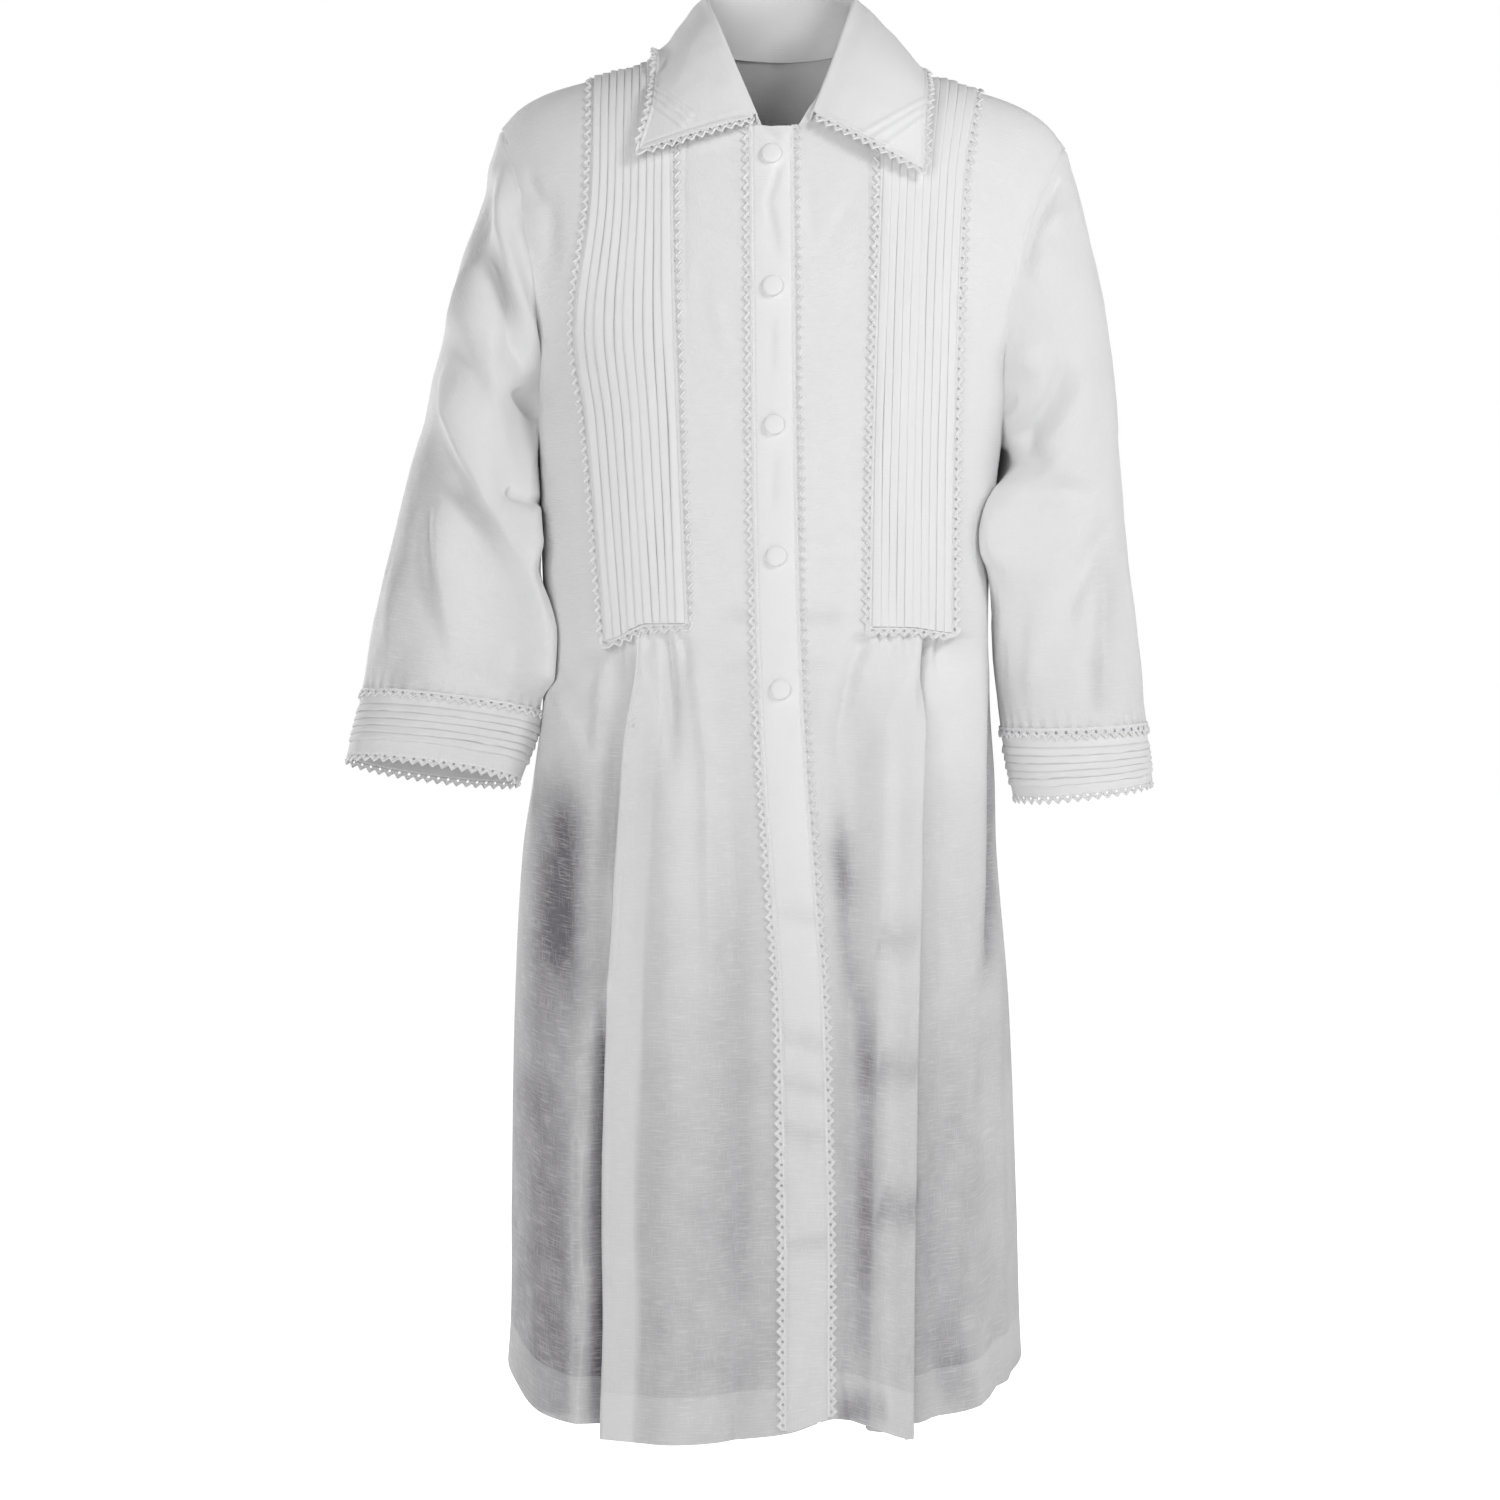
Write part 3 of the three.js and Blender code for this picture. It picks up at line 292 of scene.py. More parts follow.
def linenCloth(name, greyAmount, slubDepth, stitched):
    # Two ways of threads, each noise drawn out along them, and cloudy patches. The sheer and shade attribute:
    # how far the colour goes to grey, for a single see-through layer and for painted shade in hollows, creases and
    # grooves, greyer between the slubs. away and along: lengths from the nearest row of stitches and along it, in
    # millimetres.
    m = newMaterial(name)
    maths, softStep = "ShaderNodeMath", {"interpolation_type": "SMOOTHSTEP"}
    add, subtract, multiply = ({"operation": kind} for kind in ("ADD", "SUBTRACT", "MULTIPLY"))
    uv = addNode(m, "ShaderNodeUVMap", {"uv_map": "cloth"}).outputs["UV"]
    noises = []
    for wide, high, detail in ((linen["slubLong"], linen["slubThick"], 2.0),
                               (linen["slubThick"], linen["slubLong"] * 0.7, 2.0), (*linen["clouds"], 4.0)):
        drawnOut = addNode(m, "ShaderNodeMapping", {}, Vector=uv, Scale=(1 / wide, 1 / high, 1)).outputs[0]
        noises.append(addNode(m, "ShaderNodeTexNoise", {"noise_dimensions": "2D"}, Scale=1.0, Detail=detail,
                              Roughness=0.55, Vector=drawnOut).outputs["Fac"])
    weft, warp = (addNode(m, "ShaderNodeMapRange", softStep, Value=threads, From_Min=low,
                          From_Max=high).outputs[0]
                  for threads, (low, high) in zip(noises, (linen["weftSlubs"], linen["warpSlubs"])))
    warp = addNode(m, maths, multiply, i0=warp, i1=linen["warpShare"]).outputs[0]
    slubs = addNode(m, maths, {"operation": "MAXIMUM"}, i0=weft, i1=warp).outputs[0]
    over, under = (addNode(m, "ShaderNodeTexWave", {"bands_direction": way}, Vector=uv, Distortion=1.2,
                           Scale=1 / (linen["pitch"] * 3.1416), Detail=1.0).outputs["Fac"] for way in "XY")
    weave = addNode(m, maths, multiply, i0=over, i1=under).outputs[0]

    # Share of grey, from what shows through and from painted shade: less at the slubs, times the attribute, the
    # clouds and the cloth's own amount
    toGrey = addNode(m, maths, multiply, i0=slubs, i1=linen["slubHides"]).outputs[0]
    toGrey = addNode(m, maths, subtract, i0=linen["greyMost"], i1=toGrey).outputs[0]
    sheerAndShade = addNode(m, "ShaderNodeAttribute", {"attribute_name": "sheerAndShade"}).outputs["Fac"]
    toGrey = addNode(m, maths, multiply, i0=sheerAndShade, i1=toGrey).outputs[0]
    clouds = addNode(m, maths, multiply, i0=noises[2], i1=linen["cloudAdds"]).outputs[0]
    clouds = addNode(m, maths, add, i0=linen["cloudLeast"], i1=clouds).outputs[0]
    toGrey = addNode(m, maths, multiply, i0=toGrey, i1=clouds).outputs[0]
    toGrey = addNode(m, maths, multiply, i0=toGrey, i1=greyAmount).outputs[0]
    colour = addNode(m, "ShaderNodeMix", {"data_type": "RGBA", "clamp_factor": True}, i0=toGrey,
                     i6=hexColour(linen["white"]), i7=hexColour(linen["sheerShade"])).outputs[2]

    # Relief: slubs and weave, and a groove along each row of stitches, shallower under every dash of thread
    raised = addNode(m, maths, multiply, i0=slubs, i1=slubDepth).outputs[0]
    woven = addNode(m, maths, multiply, i0=weave, i1=linen["weaveDepth"]).outputs[0]
    height = addNode(m, maths, add, i0=raised, i1=woven).outputs[0]
    if stitched:
        away, along = (addNode(m, "ShaderNodeAttribute", {"attribute_name": key}).outputs["Fac"]
                       for key in ("away", "along"))
        beat = addNode(m, maths, {"operation": "PINGPONG"}, i0=along, i1=linen["stitchLong"]).outputs[0]
        groove, dash = (addNode(m, "ShaderNodeMapRange", softStep, Value=value, From_Min=low,
                                From_Max=high).outputs[0]
                        for value, (low, high) in ((away, linen["stitchAway"]), (beat, linen["dash"])))
        dash = addNode(m, maths, multiply, i0=dash, i1=linen["dashDepth"]).outputs[0]
        depth = addNode(m, maths, subtract, i0=linen["grooveDepth"], i1=dash).outputs[0]
        groove = addNode(m, maths, multiply, i0=groove, i1=depth).outputs[0]
        height = addNode(m, maths, subtract, i0=height, i1=groove).outputs[0]
    bump = addNode(m, "ShaderNodeBump", {}, Strength=linen["bump"], Distance=linen["bumpDepth"],
                   Height=height).outputs[0]
    rough = addNode(m, maths, multiply, i0=slubs, i1=linen["slubRough"]).outputs[0]
    rough = addNode(m, maths, add, i0=linen["roughness"], i1=rough).outputs[0]
    cloth = addNode(m, "ShaderNodeBsdfPrincipled", {}, Base_Color=colour, Roughness=rough, Normal=bump,
                    IOR=linen["ior"], Specular_IOR_Level=0.25, Sheen_Weight=0.12, Sheen_Roughness=0.5).outputs[0]
    addNode(m, "ShaderNodeOutputMaterial", {}, Surface=cloth)
    return m


# Cotton crochet lace: bright matt thread, twisted, about 1 mm thick
# shadow and net are greys of painted shade, between the twists and in the net
crochet = {
    "white": "#FCFCFA", "shadow": "#EFEFF0", "netShade": "#EBEAEC", "twist": 0.0011, "roughness": 0.8, "ior": 1.53,
}


def crochetLace():
    # White thread, with painted shade between its twists and in the net, where the net shade attribute is 1
    m = newMaterial("cotton_crochet_lace")
    uv = addNode(m, "ShaderNodeUVMap", {"uv_map": "cloth"}).outputs["UV"]
    turned = addNode(m, "ShaderNodeMapping", {}, Vector=uv, Rotation=(0, 0, 0.6)).outputs[0]
    twist = addNode(m, "ShaderNodeTexWave", {"bands_direction": "X"}, Vector=turned, Distortion=2.0,
                    Scale=1 / (crochet["twist"] * 3.1416), Detail=1.0).outputs["Fac"]
    fuzz = addNode(m, "ShaderNodeTexNoise", {}, Vector=uv, Scale=1400.0, Detail=3.0).outputs["Fac"]
    colour = addNode(m, "ShaderNodeMix", {"data_type": "RGBA"}, i0=twist, i6=hexColour(crochet["shadow"]),
                     i7=hexColour(crochet["white"])).outputs[2]
    netShade = addNode(m, "ShaderNodeAttribute", {"attribute_name": "netShade"}).outputs["Fac"]
    colour = addNode(m, "ShaderNodeMix", {"data_type": "RGBA", "clamp_factor": True}, i0=netShade, i6=colour,
                     i7=hexColour(crochet["netShade"])).outputs[2]
    height = addNode(m, "ShaderNodeMath", {"operation": "ADD"}, i0=twist, i1=fuzz).outputs[0]
    bump = addNode(m, "ShaderNodeBump", {}, Strength=0.6, Distance=0.0003, Height=height).outputs[0]
    thread = addNode(m, "ShaderNodeBsdfPrincipled", {}, Base_Color=colour, Roughness=crochet["roughness"],
                     IOR=crochet["ior"], Specular_IOR_Level=0.3, Normal=bump, Sheen_Weight=0.1).outputs[0]
    addNode(m, "ShaderNodeOutputMaterial", {}, Surface=thread)
    return m


singleLinen = linenCloth("bleached_linen_single", 1.0, 0.8, True)
doubleLinen = linenCloth("bleached_linen_doubled", 0.6, 0.35, True)
tuckedLinen = linenCloth("bleached_linen_tucked", 0.5, 0.3, False)
collarLinen = linenCloth("bleached_linen_collar", 0.5, 0.3, True)
laceThread = crochetLace()
buttonLinen = linenCloth("linen_covered_button", 0.5, 0.3, False)
print("materials made")

# The body's surface, as in the frame: level sections with the middle, half width, front and back depth
bodySections = {
    "z": [-1280, -1190, -1080, -897, -760, -690, -630, -566, -475, -385, -300, -200, -110, 20],
    "middle": [-13, -12, -13, -15, -17, -13, -11, -11, -11, -7, 0, 0, 0, 0],
    "half": [240, 233, 231, 226, 217, 211, 205, 203, 206, 212, 222, 252, 270, 286],
    "front": [188, 181, 174, 162, 153, 147, 142, 136, 129, 123, 118, 116, 114, 112],
    "back": [178, 173, 168, 158, 150, 146, 141, 136, 128, 122, 120, 118, 114, 112],
}
shoulderLine = {  # shares of the way out from the neck point to the tip, and of the way down
    "reach": [0, 0.33, 0.38, 0.44, 0.52, 0.6, 0.67, 0.79, 0.87, 0.94, 1],
    "drop": [-0.28, 0, 0.15, 0.3, 0.4, 0.45, 0.5, 0.59, 0.68, 0.81, 1],
}
hemLine = {  # height of the front hem from the right side seam (turn -1) to the left one (turn 1)
    "turn": [-1, -0.76, -0.55, -0.36, -0.11, 0.03, 0.13, 0.3, 0.38, 0.55, 0.59, 1],
    "z": [-1227, -1244, -1270, -1271, -1271, -1262, -1250, -1269, -1266, -1257, -1243, -1223],
}
armholeLine = {"drop": [0, 0.08, 0.18, 0.3, 0.5, 0.75, 1], "out": [1, 0.74, 0.48, 0.28, 0.1, 0, 0]}
placketLine = {"z": [-1280, -1060, -890, -765, -620, -430, -100], "x": [24, 23, 19, 10, 1, -4, -7]}
body = {
    "power": 2.4, "shoulderPower": 2.6,  # how square the sections are, and how fast they close at the shoulder
    "neckPoint": -8, "chest": -330, "underarm": -385, "waist": -566, "hemBack": -1240, "hemMiddle": -1263,
    "neckHalf": 84, "neckFront": -110, "neckBack": -22,  # the neck's half width and its lowest places
    "tipX": (-254, 264), "tipZ": (-96, -114),  # shoulder tips, right and left
}


def eitherSide(x, pair):
    # The first of a pair on the robe's right, where x is below 0, and the second on its left
    return np.where(np.asarray(x) < 0, pair[0], pair[1])


def shoulderHeight(x):
    # Height of the shoulder seam, from the neck point down to the tip, by the share of its reach
    drop = readTable(shoulderLine, "drop", np.abs(x / eitherSide(x, body["tipX"])), by="reach")
    return mix(body["neckPoint"], eitherSide(x, body["tipZ"]), drop)


def neckHeight(x, facing):
    # Height of the neckline: an oval drop from the neck points to its lowest place
    low = np.where(np.asarray(facing) < 0, body["neckFront"], body["neckBack"])
    share = np.clip(np.abs(x) / body["neckHalf"], 0, 1)
    return body["neckPoint"] + (low - body["neckPoint"]) * np.sqrt(1 - share ** 2.2)


def topHeight(x, facing):
    # The top edge of a panel: the neckline between the neck points, and the shoulder seam outside them
    return np.where(np.abs(x) < body["neckHalf"], neckHeight(x, facing), shoulderHeight(x))


def depthAt(z, facing):
    # How far the section at this height reaches forwards (facing -1) or back (facing 1)
    depths = (readTable(bodySections, side, z) for side in ("front", "back"))
    return np.where(np.asarray(facing) < 0, *depths)


def turnAt(x, z):
    # Share of the way round a level section, 0 at its middle and 1 at the side seam
    offset = x - readTable(bodySections, "middle", z)
    share = np.clip(np.abs(offset) / readTable(bodySections, "half", z), 0, 1)
    return np.sign(offset) * 2 / np.pi * np.arcsin(share ** (body["power"] / 2))


def bodyPoint(turn, z, facing):
    # A squared oval at every height, drawn in towards the shoulder seam above the chest
    angle = np.clip(np.abs(turn), 0, 1) * np.pi / 2
    out = readTable(bodySections, "half", z) * np.sin(angle) ** (2 / body["power"])
    x = readTable(bodySections, "middle", z) + np.sign(turn) * out
    rise = np.clip((z - body["chest"]) / (shoulderHeight(x) - body["chest"]), 0, 1)
    drawnIn = (1 - rise ** body["shoulderPower"]) ** (1 / body["shoulderPower"])
    return points(x, facing * depthAt(z, facing) * np.cos(angle) ** (2 / body["power"]) * drawnIn, z)


def bodyNormal(turn, z, facing):
    # Square to two short steps on the surface, one round it and one down it, and turned outwards
    across = bodyPoint(turn + 0.004, z, facing) - bodyPoint(turn - 0.004, z, facing)
    down = bodyPoint(turn, z - 3, facing) - bodyPoint(turn, z + 1, facing)
    normal = unit(np.cross(across, down))
    return normal * np.where(normal[..., 1:2] * np.asarray(facing)[..., None] < 0, -1, 1)


def placketX(z):
    # Middle of the placket's strip, read from its line
    return readTable(placketLine, "x", z)


# Folds on the fronts. The first ones are the frame's own, the others finer creases and hollows.
frontFolds = [
    ([(-96, -590), (-94, -1300)], 22, 10, (0.18, 0.001)),
    ([(-46, -660), (-38, -1300)], 15, -9, (0.2, 0.001)),
    ([(-177, -900), (-174, -960), (-172.5, -1300)], (13, 4), 15, (0.25, 0.001)),
    ([(-206, -650), (-205, -740), (-203, -830), (-200, -940)], (16, 20), -11, (0.35, 0.3)),
    ([(-207, -596), (-190, -640), (-167, -690)], (9, 5), 6, (0.3, 0.25)),
    ([(-158, -572), (-163, -620), (-167, -694)], (5, 7), 5, (0.3, 0.25)),
    ([(-151, -856), (-166, -905), (-185, -958), (-198, -1015)], (12, 6), 6, (0.2, 0.5)),
    ([(-150, -640), (-157, -760), (-161, -900)], (10, 6), -9, (0.3, 0.3)),
    ([(-162, -880), (-163, -1300)], (6, 4), -9, (0.2, 0.001)),
    ([(-206, -1000), (-203, -1300)], (9, 14), -6, (0.4, 0.001)),
    ([(62, -590), (64, -800), (68, -1300)], 14, -10, (0.12, 0.001)),
    ([(98, -585), (96, -800), (90, -1300)], 19, 11, (0.14, 0.001)),
    ([(184, -500), (189, -800), (196, -1300)], (20, 9), 9, (0.2, 0.001)),
    ([(154, -600), (152, -900), (146, -1300)], 13, -8, (0.18, 0.001)),
    ([(188, -590), (187, -760), (185, -850), (178, -892)], (4, 7), -9, (0.25, 0.2)),
    ([(183, -870), (178, -1030), (168, -1180), (164, -1230)], (4, 12), -6, (0.25, 0.2)),
    ([(-83, -570), (-72, -621), (-65, -687), (-62, -825), (-60, -979)], (4, 10), 4.5, (0.12, 0.5)),
    ([(-21, -1040), (-31, -1140)], (6, 4), 3, (0.4, 0.4)),
    ([(-46, -1150), (-41, -1290)], (4, 6), -4.5, (0.5, 0.001)),
    ([(54, -1190), (66, -1262)], (4, 7), -4.5, (0.6, 0.001)),
    ([(74, -1175), (60, -1240)], 6, 3, (0.5, 0.3)),
    ([(24, -140), (33, -232)], (7, 4), -1.6, (0.4, 0.4)),
    ([(67, -165), (34, -236)], (4, 7), -1.4, (0.4, 0.4)),
    ([(-80, -232), (-58, -262)], 5, -1.5, (0.4, 0.4)),
    ([(-62, -250), (-40, -330)], (7, 5), 1.4, (0.4, 0.4)),
    ([(-232, -138), (-211, -180)], (4, 6), -4, (0.4, 0.4)),
    ([(-207, -150), (-205, -260)], 9, -4, (0.4, 0.5)),
]
# Short sharp gathers where the skirt hangs from the foot of each band
gathers = [
    ([(-102, -556), (-98, -581), (-95, -628), (-92, -720)], 3.6, -10, (0.04, 0.8), 2.4),
    ([(-116, -556), (-114, -590)], 2.6, -4, (0.05, 0.8), 1.8),
    ([(-109, -556), (-107, -578)], 2.4, -3, (0.05, 0.8), 1.6),
    ([(-88, -556), (-84, -578), (-79, -612)], 3, -6, (0.05, 0.7), 2),
    ([(-149, -558), (-146, -608)], 3.2, -8, (0.05, 0.7), 1.6),
    ([(-134, -558), (-130, -600)], 2.6, -5, (0.05, 0.7), 1.6),
    ([(80, -558), (66, -589), (53, -650), (49, -730)], (9, 5), -10, (0.1, 0.6), 1.5),
    ([(88, -556), (95, -592)], 2.8, -5, (0.05, 0.8), 1.6),
    ([(99, -556), (103, -604)], 2.8, -5, (0.05, 0.8), 1.8),
    ([(113, -556), (116, -600)], 2.8, -6, (0.05, 0.8), 1.8),
    ([(135, -556), (130, -610), (130, -650)], (4, 5), -10, (0.05, 0.6), 1.5),
    ([(147, -556), (150, -608)], 3, -6, (0.05, 0.8), 1.6),
]
gatherFoot = -558  # where the gathers begin, just below the foot of the bands
# Painted shade and painted highlights on one layer of cloth, as shares of the sheer and shade attribute: shade in
# the hollows, in the recess beside the pleat's edge and in bands across the strip, a highlight on the ridge, and
# darker bands at the waist and hem
sheerAndShadeZones = [
    ([(-196, -655), (-203, -765), (-206, -840), (-207, -935)], (18, 22), 0.5, (0.35, 0.45)),
    ([(-208, -650), (-206, -800), (-202, -980)], (34, 38), 0.3, (0.3, 0.4)),
    ([(-222, -850), (-218, -1080)], 26, 0.08, (0.35, 0.35)),
    ([(-150, -610), (-154, -700), (-157, -800)], (12, 9), 0.2, (0.4, 0.3)),
    ([(-214, -870), (-208, -1255)], (36, 30), 0.3, (0.3, 0.001)),
    ([(-161, -860), (-163, -1000), (-163.5, -1290)], 4.8, 0.62, (0.2, 0.001)),
    ([(-174, -960), (-172.5, -1290)], 3.4, -0.18, (0.2, 0.001)),
    ([(-44, -740), (-40, -1190)], (18, 18), 0.09, (0.3, 0.3)),
    ([(-60, -548), (20, -550), (70, -548)], 8, 0.1, (0.2, 0.2)),
    ([(-66, -592), (60, -592)], 6, 0.06, (0.3, 0.3)),
    ([(50, -690), (57, -772), (61, -842), (75, -905), (78, -982), (76, -1122), (72, -1260)], 10, 0.27, (0.12, 0.4)),
    ([(50, -720), (62, -822)], (12, 14), 0.2, (0.4, 0.4)),
    ([(76, -890), (79, -1000)], 9, 0.12, (0.4, 0.4)),
    ([(78, -1010), (75, -1170)], 9, 0.14, (0.4, 0.4)),
    ([(84, -832), (124, -838)], 17, 0.22, (0.1, 0.1)),
    ([(84, -944), (124, -950)], 18, 0.28, (0.1, 0.1)),
    ([(84, -1064), (124, -1074)], 19, 0.34, (0.1, 0.1)),
    ([(150, -860), (146, -1220)], (24, 24), 0.07, (0.3, 0.1)),
    ([(150, -570), (160, -720)], 34, -0.08, (0.2, 0.4)),
    ([(188, -560), (188, -760), (184, -846), (177, -895)], (5, 8), 0.5, (0.15, 0.25)),
    ([(204, -930), (206, -1230)], (18, 40), -0.16, (0.2, 0.1)),
    ([(144, -1225), (178, -1222)], 30, 0.3, (0.2, 0.3)),
    ([(46, -1246), (94, -1240)], 14, 0.5, (0.15, 0.15)),
]


def frontLift(x, z):
    # Height of the fronts' folds above the body's surface, dying out at the side seams
    nearSide = 1 - ease((np.abs(turnAt(x, z)) - 0.75) / 0.25)
    lower = below(z, -520, 120)
    rumple = crumple(x / 46, z / 80, 5) * mix(0.5, 1.3, lower)
    rumple = rumple + crumple(x / 15 + 4, z / 17, 8) * mix(0.12, 0.3, lower)
    return (foldField(x, z, frontFolds) + rumple) * nearSide


def onFront(x, z, lift):
    # A point of the front at this x and z, its folds included, raised by a lift square to the surface
    turn = turnAt(x, z)
    return bodyPoint(turn, z, -1) + bodyNormal(turn, z, -1) * (frontLift(x, z) + lift)[..., None]


def armholeX(sign, drop):
    # The armhole seam from the shoulder tip (drop 0) to the underarm (drop 1), by its curve
    atUnderarm = bodyPoint(np.full(np.shape(drop), float(sign)), body["underarm"], -1)[..., 0]
    return mix(atUnderarm, eitherSide(sign, body["tipX"]), readTable(armholeLine, "out", drop, by="drop"))


clothThick = 0.7  # wall of a single layer in mm, a little thicker than the linen itself

# Rows of a panel, from the hem up: closer together round the turned hem. Lengths in mm up from the hem.
hemDepth = 41
panelRows = {
    "hemRows": [0, 0.8, 2.2], "hemStep": 3.6, "seamRows": [-2.4, -1.2, -0.5, 0, 0.6, 1.4, 2.8],
    "skirt": 140, "waist": 43, "chest": 65,
}


def rowShares():
    # Shares of the way from waist to hem, heights from waist to underarm, shares from there to the top
    drop = body["waist"] - body["hemMiddle"]
    up = panelRows["hemRows"] + list(np.arange(5.6, hemDepth - 4, panelRows["hemStep"]))
    up += [hemDepth + away for away in panelRows["seamRows"]]
    up += list(np.linspace(hemDepth + 6, drop, panelRows["skirt"]))
    down = 1 - np.array(up) / drop
    waist = np.linspace(body["waist"], body["underarm"], panelRows["waist"])[1:]
    return down, waist, np.linspace(0, 1, panelRows["chest"])[1:]


def rowHeights(hem, top):
    # Heights of a panel's rows, hem first, for columns with these hem and top heights; and each row's share
    down, waist, up = rowShares()
    z = np.concatenate([
        mix(body["waist"], hem[None, :], down[:, None]),
        np.repeat(waist[:, None], len(hem), axis=1),
        mix(body["underarm"], top[None, :], up[:, None]),
    ])
    upShare = np.concatenate([np.zeros(len(down) + len(waist)), up])[:, None]
    return z, upShare


def rowEnds(sign, z, upShare):
    # Where each row ends: at the side seam, and above the underarm at the armhole
    return np.where(upShare > 0, np.abs(turnAt(armholeX(sign, 1 - upShare), z)), 1.0)


def aboveHem(hemUp):
    # 0 in the turned hem, where there are two layers of cloth, and 1 above it
    return ease((hemUp - hemDepth + 0.6) / 1.4)


def besideHemStitches(hemUp):
    # Distance from the hem's row of stitches, no more than 9 mm
    return np.minimum(np.abs(hemUp - hemDepth + 1), 9)


# How see-through one layer looks: least everywhere, and an amount more below a height, reached over a length
sheerLook = {"least": 0.05, "below": [(-540, 120, 0.09), (-620, 560, 0.3)], "inHem": 0.7}


def sheerShade(x, z, hemUp, zones=()):
    # The sum of those amounts and the zones of painted shade, less in the hem
    lower = sheerLook["least"]
    for start, over, amount in sheerLook["below"]:
        lower = lower + amount * below(z, start, over)
    return np.clip(lower + foldField(x, z, zones), 0.02, 1) * mix(sheerLook["inHem"], 1.0, aboveHem(hemUp))


pleats = {
    "right": {
        "sign": -1, "depth": 34, "edge": 9, "opaque": 0.62,
        "line": {"z": [-1280, -1170, -1060, -887, -676, -566, -300, -50],
                 "x": [-160, -156, -158, -152, -140, -129, -150, -142]},
    },
    "left": {
        "sign": 1, "depth": 40, "edge": 12, "opaque": 0.3,
        "line": {"z": [-1280, -1063, -764, -566, -300, -50], "x": [117, 120, 127, 134, 137, 152]},
    },
    # the round of the folded edges, the height of the cloth below them, and how far it hangs above the hem
    "round": 1.9, "under": -5.8, "lift": -10, "hemStep": 12, "sideStep": 0.7,
    # heights between which the cloth beyond the pleat drops back, and the pleat opens to its full depth
    "dropFrom": -548, "dropTo": -584, "openTo": -650,
}


def pleatPath(depth):
    # The cloth through a knife pleat: its place when flat, when folded, and its height. Out to the free
    # edge, half round it, back under for the pleat's depth, half round again, and out below both layers.
    r, under = pleats["round"], pleats["under"]
    turn = np.radians(np.linspace(90, -90, 9))
    turnBack = np.radians(np.linspace(90, 270, 7))
    inner = -depth + r
    legs = [
        (np.linspace(-14, -8, 5), np.linspace(-9, -r, 5), np.zeros(5)),
        (np.linspace(-8, 0, 9), -r + r * np.cos(turn), -r + r * np.sin(turn)),
        (np.linspace(0, 4, 8), np.linspace(-r, inner, 8), np.linspace(-2 * r, under, 8)),
        (np.linspace(4, 12, 7), inner + r * np.cos(turnBack), under - r + r * np.sin(turnBack)),
        (np.linspace(12, 17, 12), np.linspace(inner, 9, 12), np.linspace(under - 2 * r, pleats["lift"], 12)),
    ]
    path = np.concatenate([np.stack(leg, axis=1)[0 if k == 0 else 1:] for k, leg in enumerate(legs)])
    return path.T


def frontPanel(name):
    # One front: columns from its edge under the placket to the pleat's line, through the pleat, and on to
    # the side seam and armhole. Each point is the body's surface moved out by the folds there.
    side = pleats[name]
    sign = side["sign"]
    start = np.concatenate([np.linspace(0, 1, 6)[:-1], np.linspace(1, 2, 16)[:-1], np.linspace(2, 3, 20)[:-1]])
    before, after = len(start), 25
    path = pleatPath(side["depth"])
    flat, turned, lift = (np.concatenate([np.zeros(before), leg, np.full(after, leg[-1])]) for leg in path)
    q = np.pad(start, (0, len(flat) - before), constant_values=3.0)
    toSide = np.pad(np.linspace(0, 1, after + 1)[1:], (len(flat) - after, 0))

    def lineX(z):
        # x of each column's line, between the edge, the placket's seam, the neck point and the pleat
        edge, seam = placketX(z) + side["edge"], placketX(z) + sign * 21
        neck = sign * mix(78, body["neckHalf"], ease((z - body["waist"]) / 400))
        pleat = readTable(side["line"], "x", z)
        u = np.broadcast_to(q, z.shape)
        return np.select([u < 1, u < 2], [mix(edge, seam, u), mix(seam, neck, u - 1)], mix(neck, pleat, u - 2))

    neckZ, hemZ = (np.full(q.shape, float(body[key])) for key in ("neckPoint", "hemMiddle"))
    xTop = mix(lineX(neckZ) + sign * flat, eitherSide(sign, body["tipX"]), toSide)
    hemTurn = mix(turnAt(lineX(hemZ), hemZ), sign, toSide)
    beyondEdge = np.arange(len(q)) > before + 5  # the first points of the path are still ahead of its edge
    hem = readTable(hemLine, "z", hemTurn, by="turn")
    hem = hem + pleats["hemStep"] * ease(-lift / 9) * beyondEdge * mix(1, pleats["sideStep"], toSide)
    z, upShare = rowHeights(hem, topHeight(xTop, -1))
    x = lineX(z)
    dropped, opened = (below(z, pleats["dropFrom"], pleats["dropFrom"] - pleats[key])
                       for key in ("dropTo", "openTo"))
    turn = turnAt(x + sign * mix(flat, turned, opened), z)
    even = mix(turn, sign * rowEnds(sign, z, upShare), toSide)
    turn = np.where(toSide > 0, np.where(toSide < 1, mix(even, turnAt(xTop, z), upShare), even), turn)
    base = bodyPoint(turn, z, -1)
    baseX = base[..., 0]
    outwards = lift * dropped * (1 - ease(toSide / 0.5)) + frontLift(baseX, z)
    outwards = outwards + foldField(baseX, z, gathers) * below(z, gatherFoot, 9)
    grid = base + bodyNormal(turn, z, -1) * outwards[..., None]
    grid[..., 1] = np.minimum(grid[..., 1], -0.5)
    # The pleat's own strip has two layers, so it shows less
    strip = ease((x - readTable(side["line"], "x", z)) * sign / 4 + (side["depth"] * opened + 1) / 4)
    strip = np.where(flat > 2, 0, strip) * dropped
    hemUp = z - hem
    # See-through grey and painted shade, less on the pleat's doubled strip
    sheerAndShade = sheerShade(baseX, z, hemUp, sheerAndShadeZones) * (1 - side["opaque"] * strip)
    shown = {"sheerAndShade": sheerAndShade, "away": besideHemStitches(hemUp)}
    return sewnPiece("front" + name.capitalize(), ["front_" + name], grid, (5, (0, -1, 0)), clothThick,
                     singleLinen, shown, stitched=0)


fronts = {name: frontPanel(name) for name in ("right", "left")}
print("fronts made")

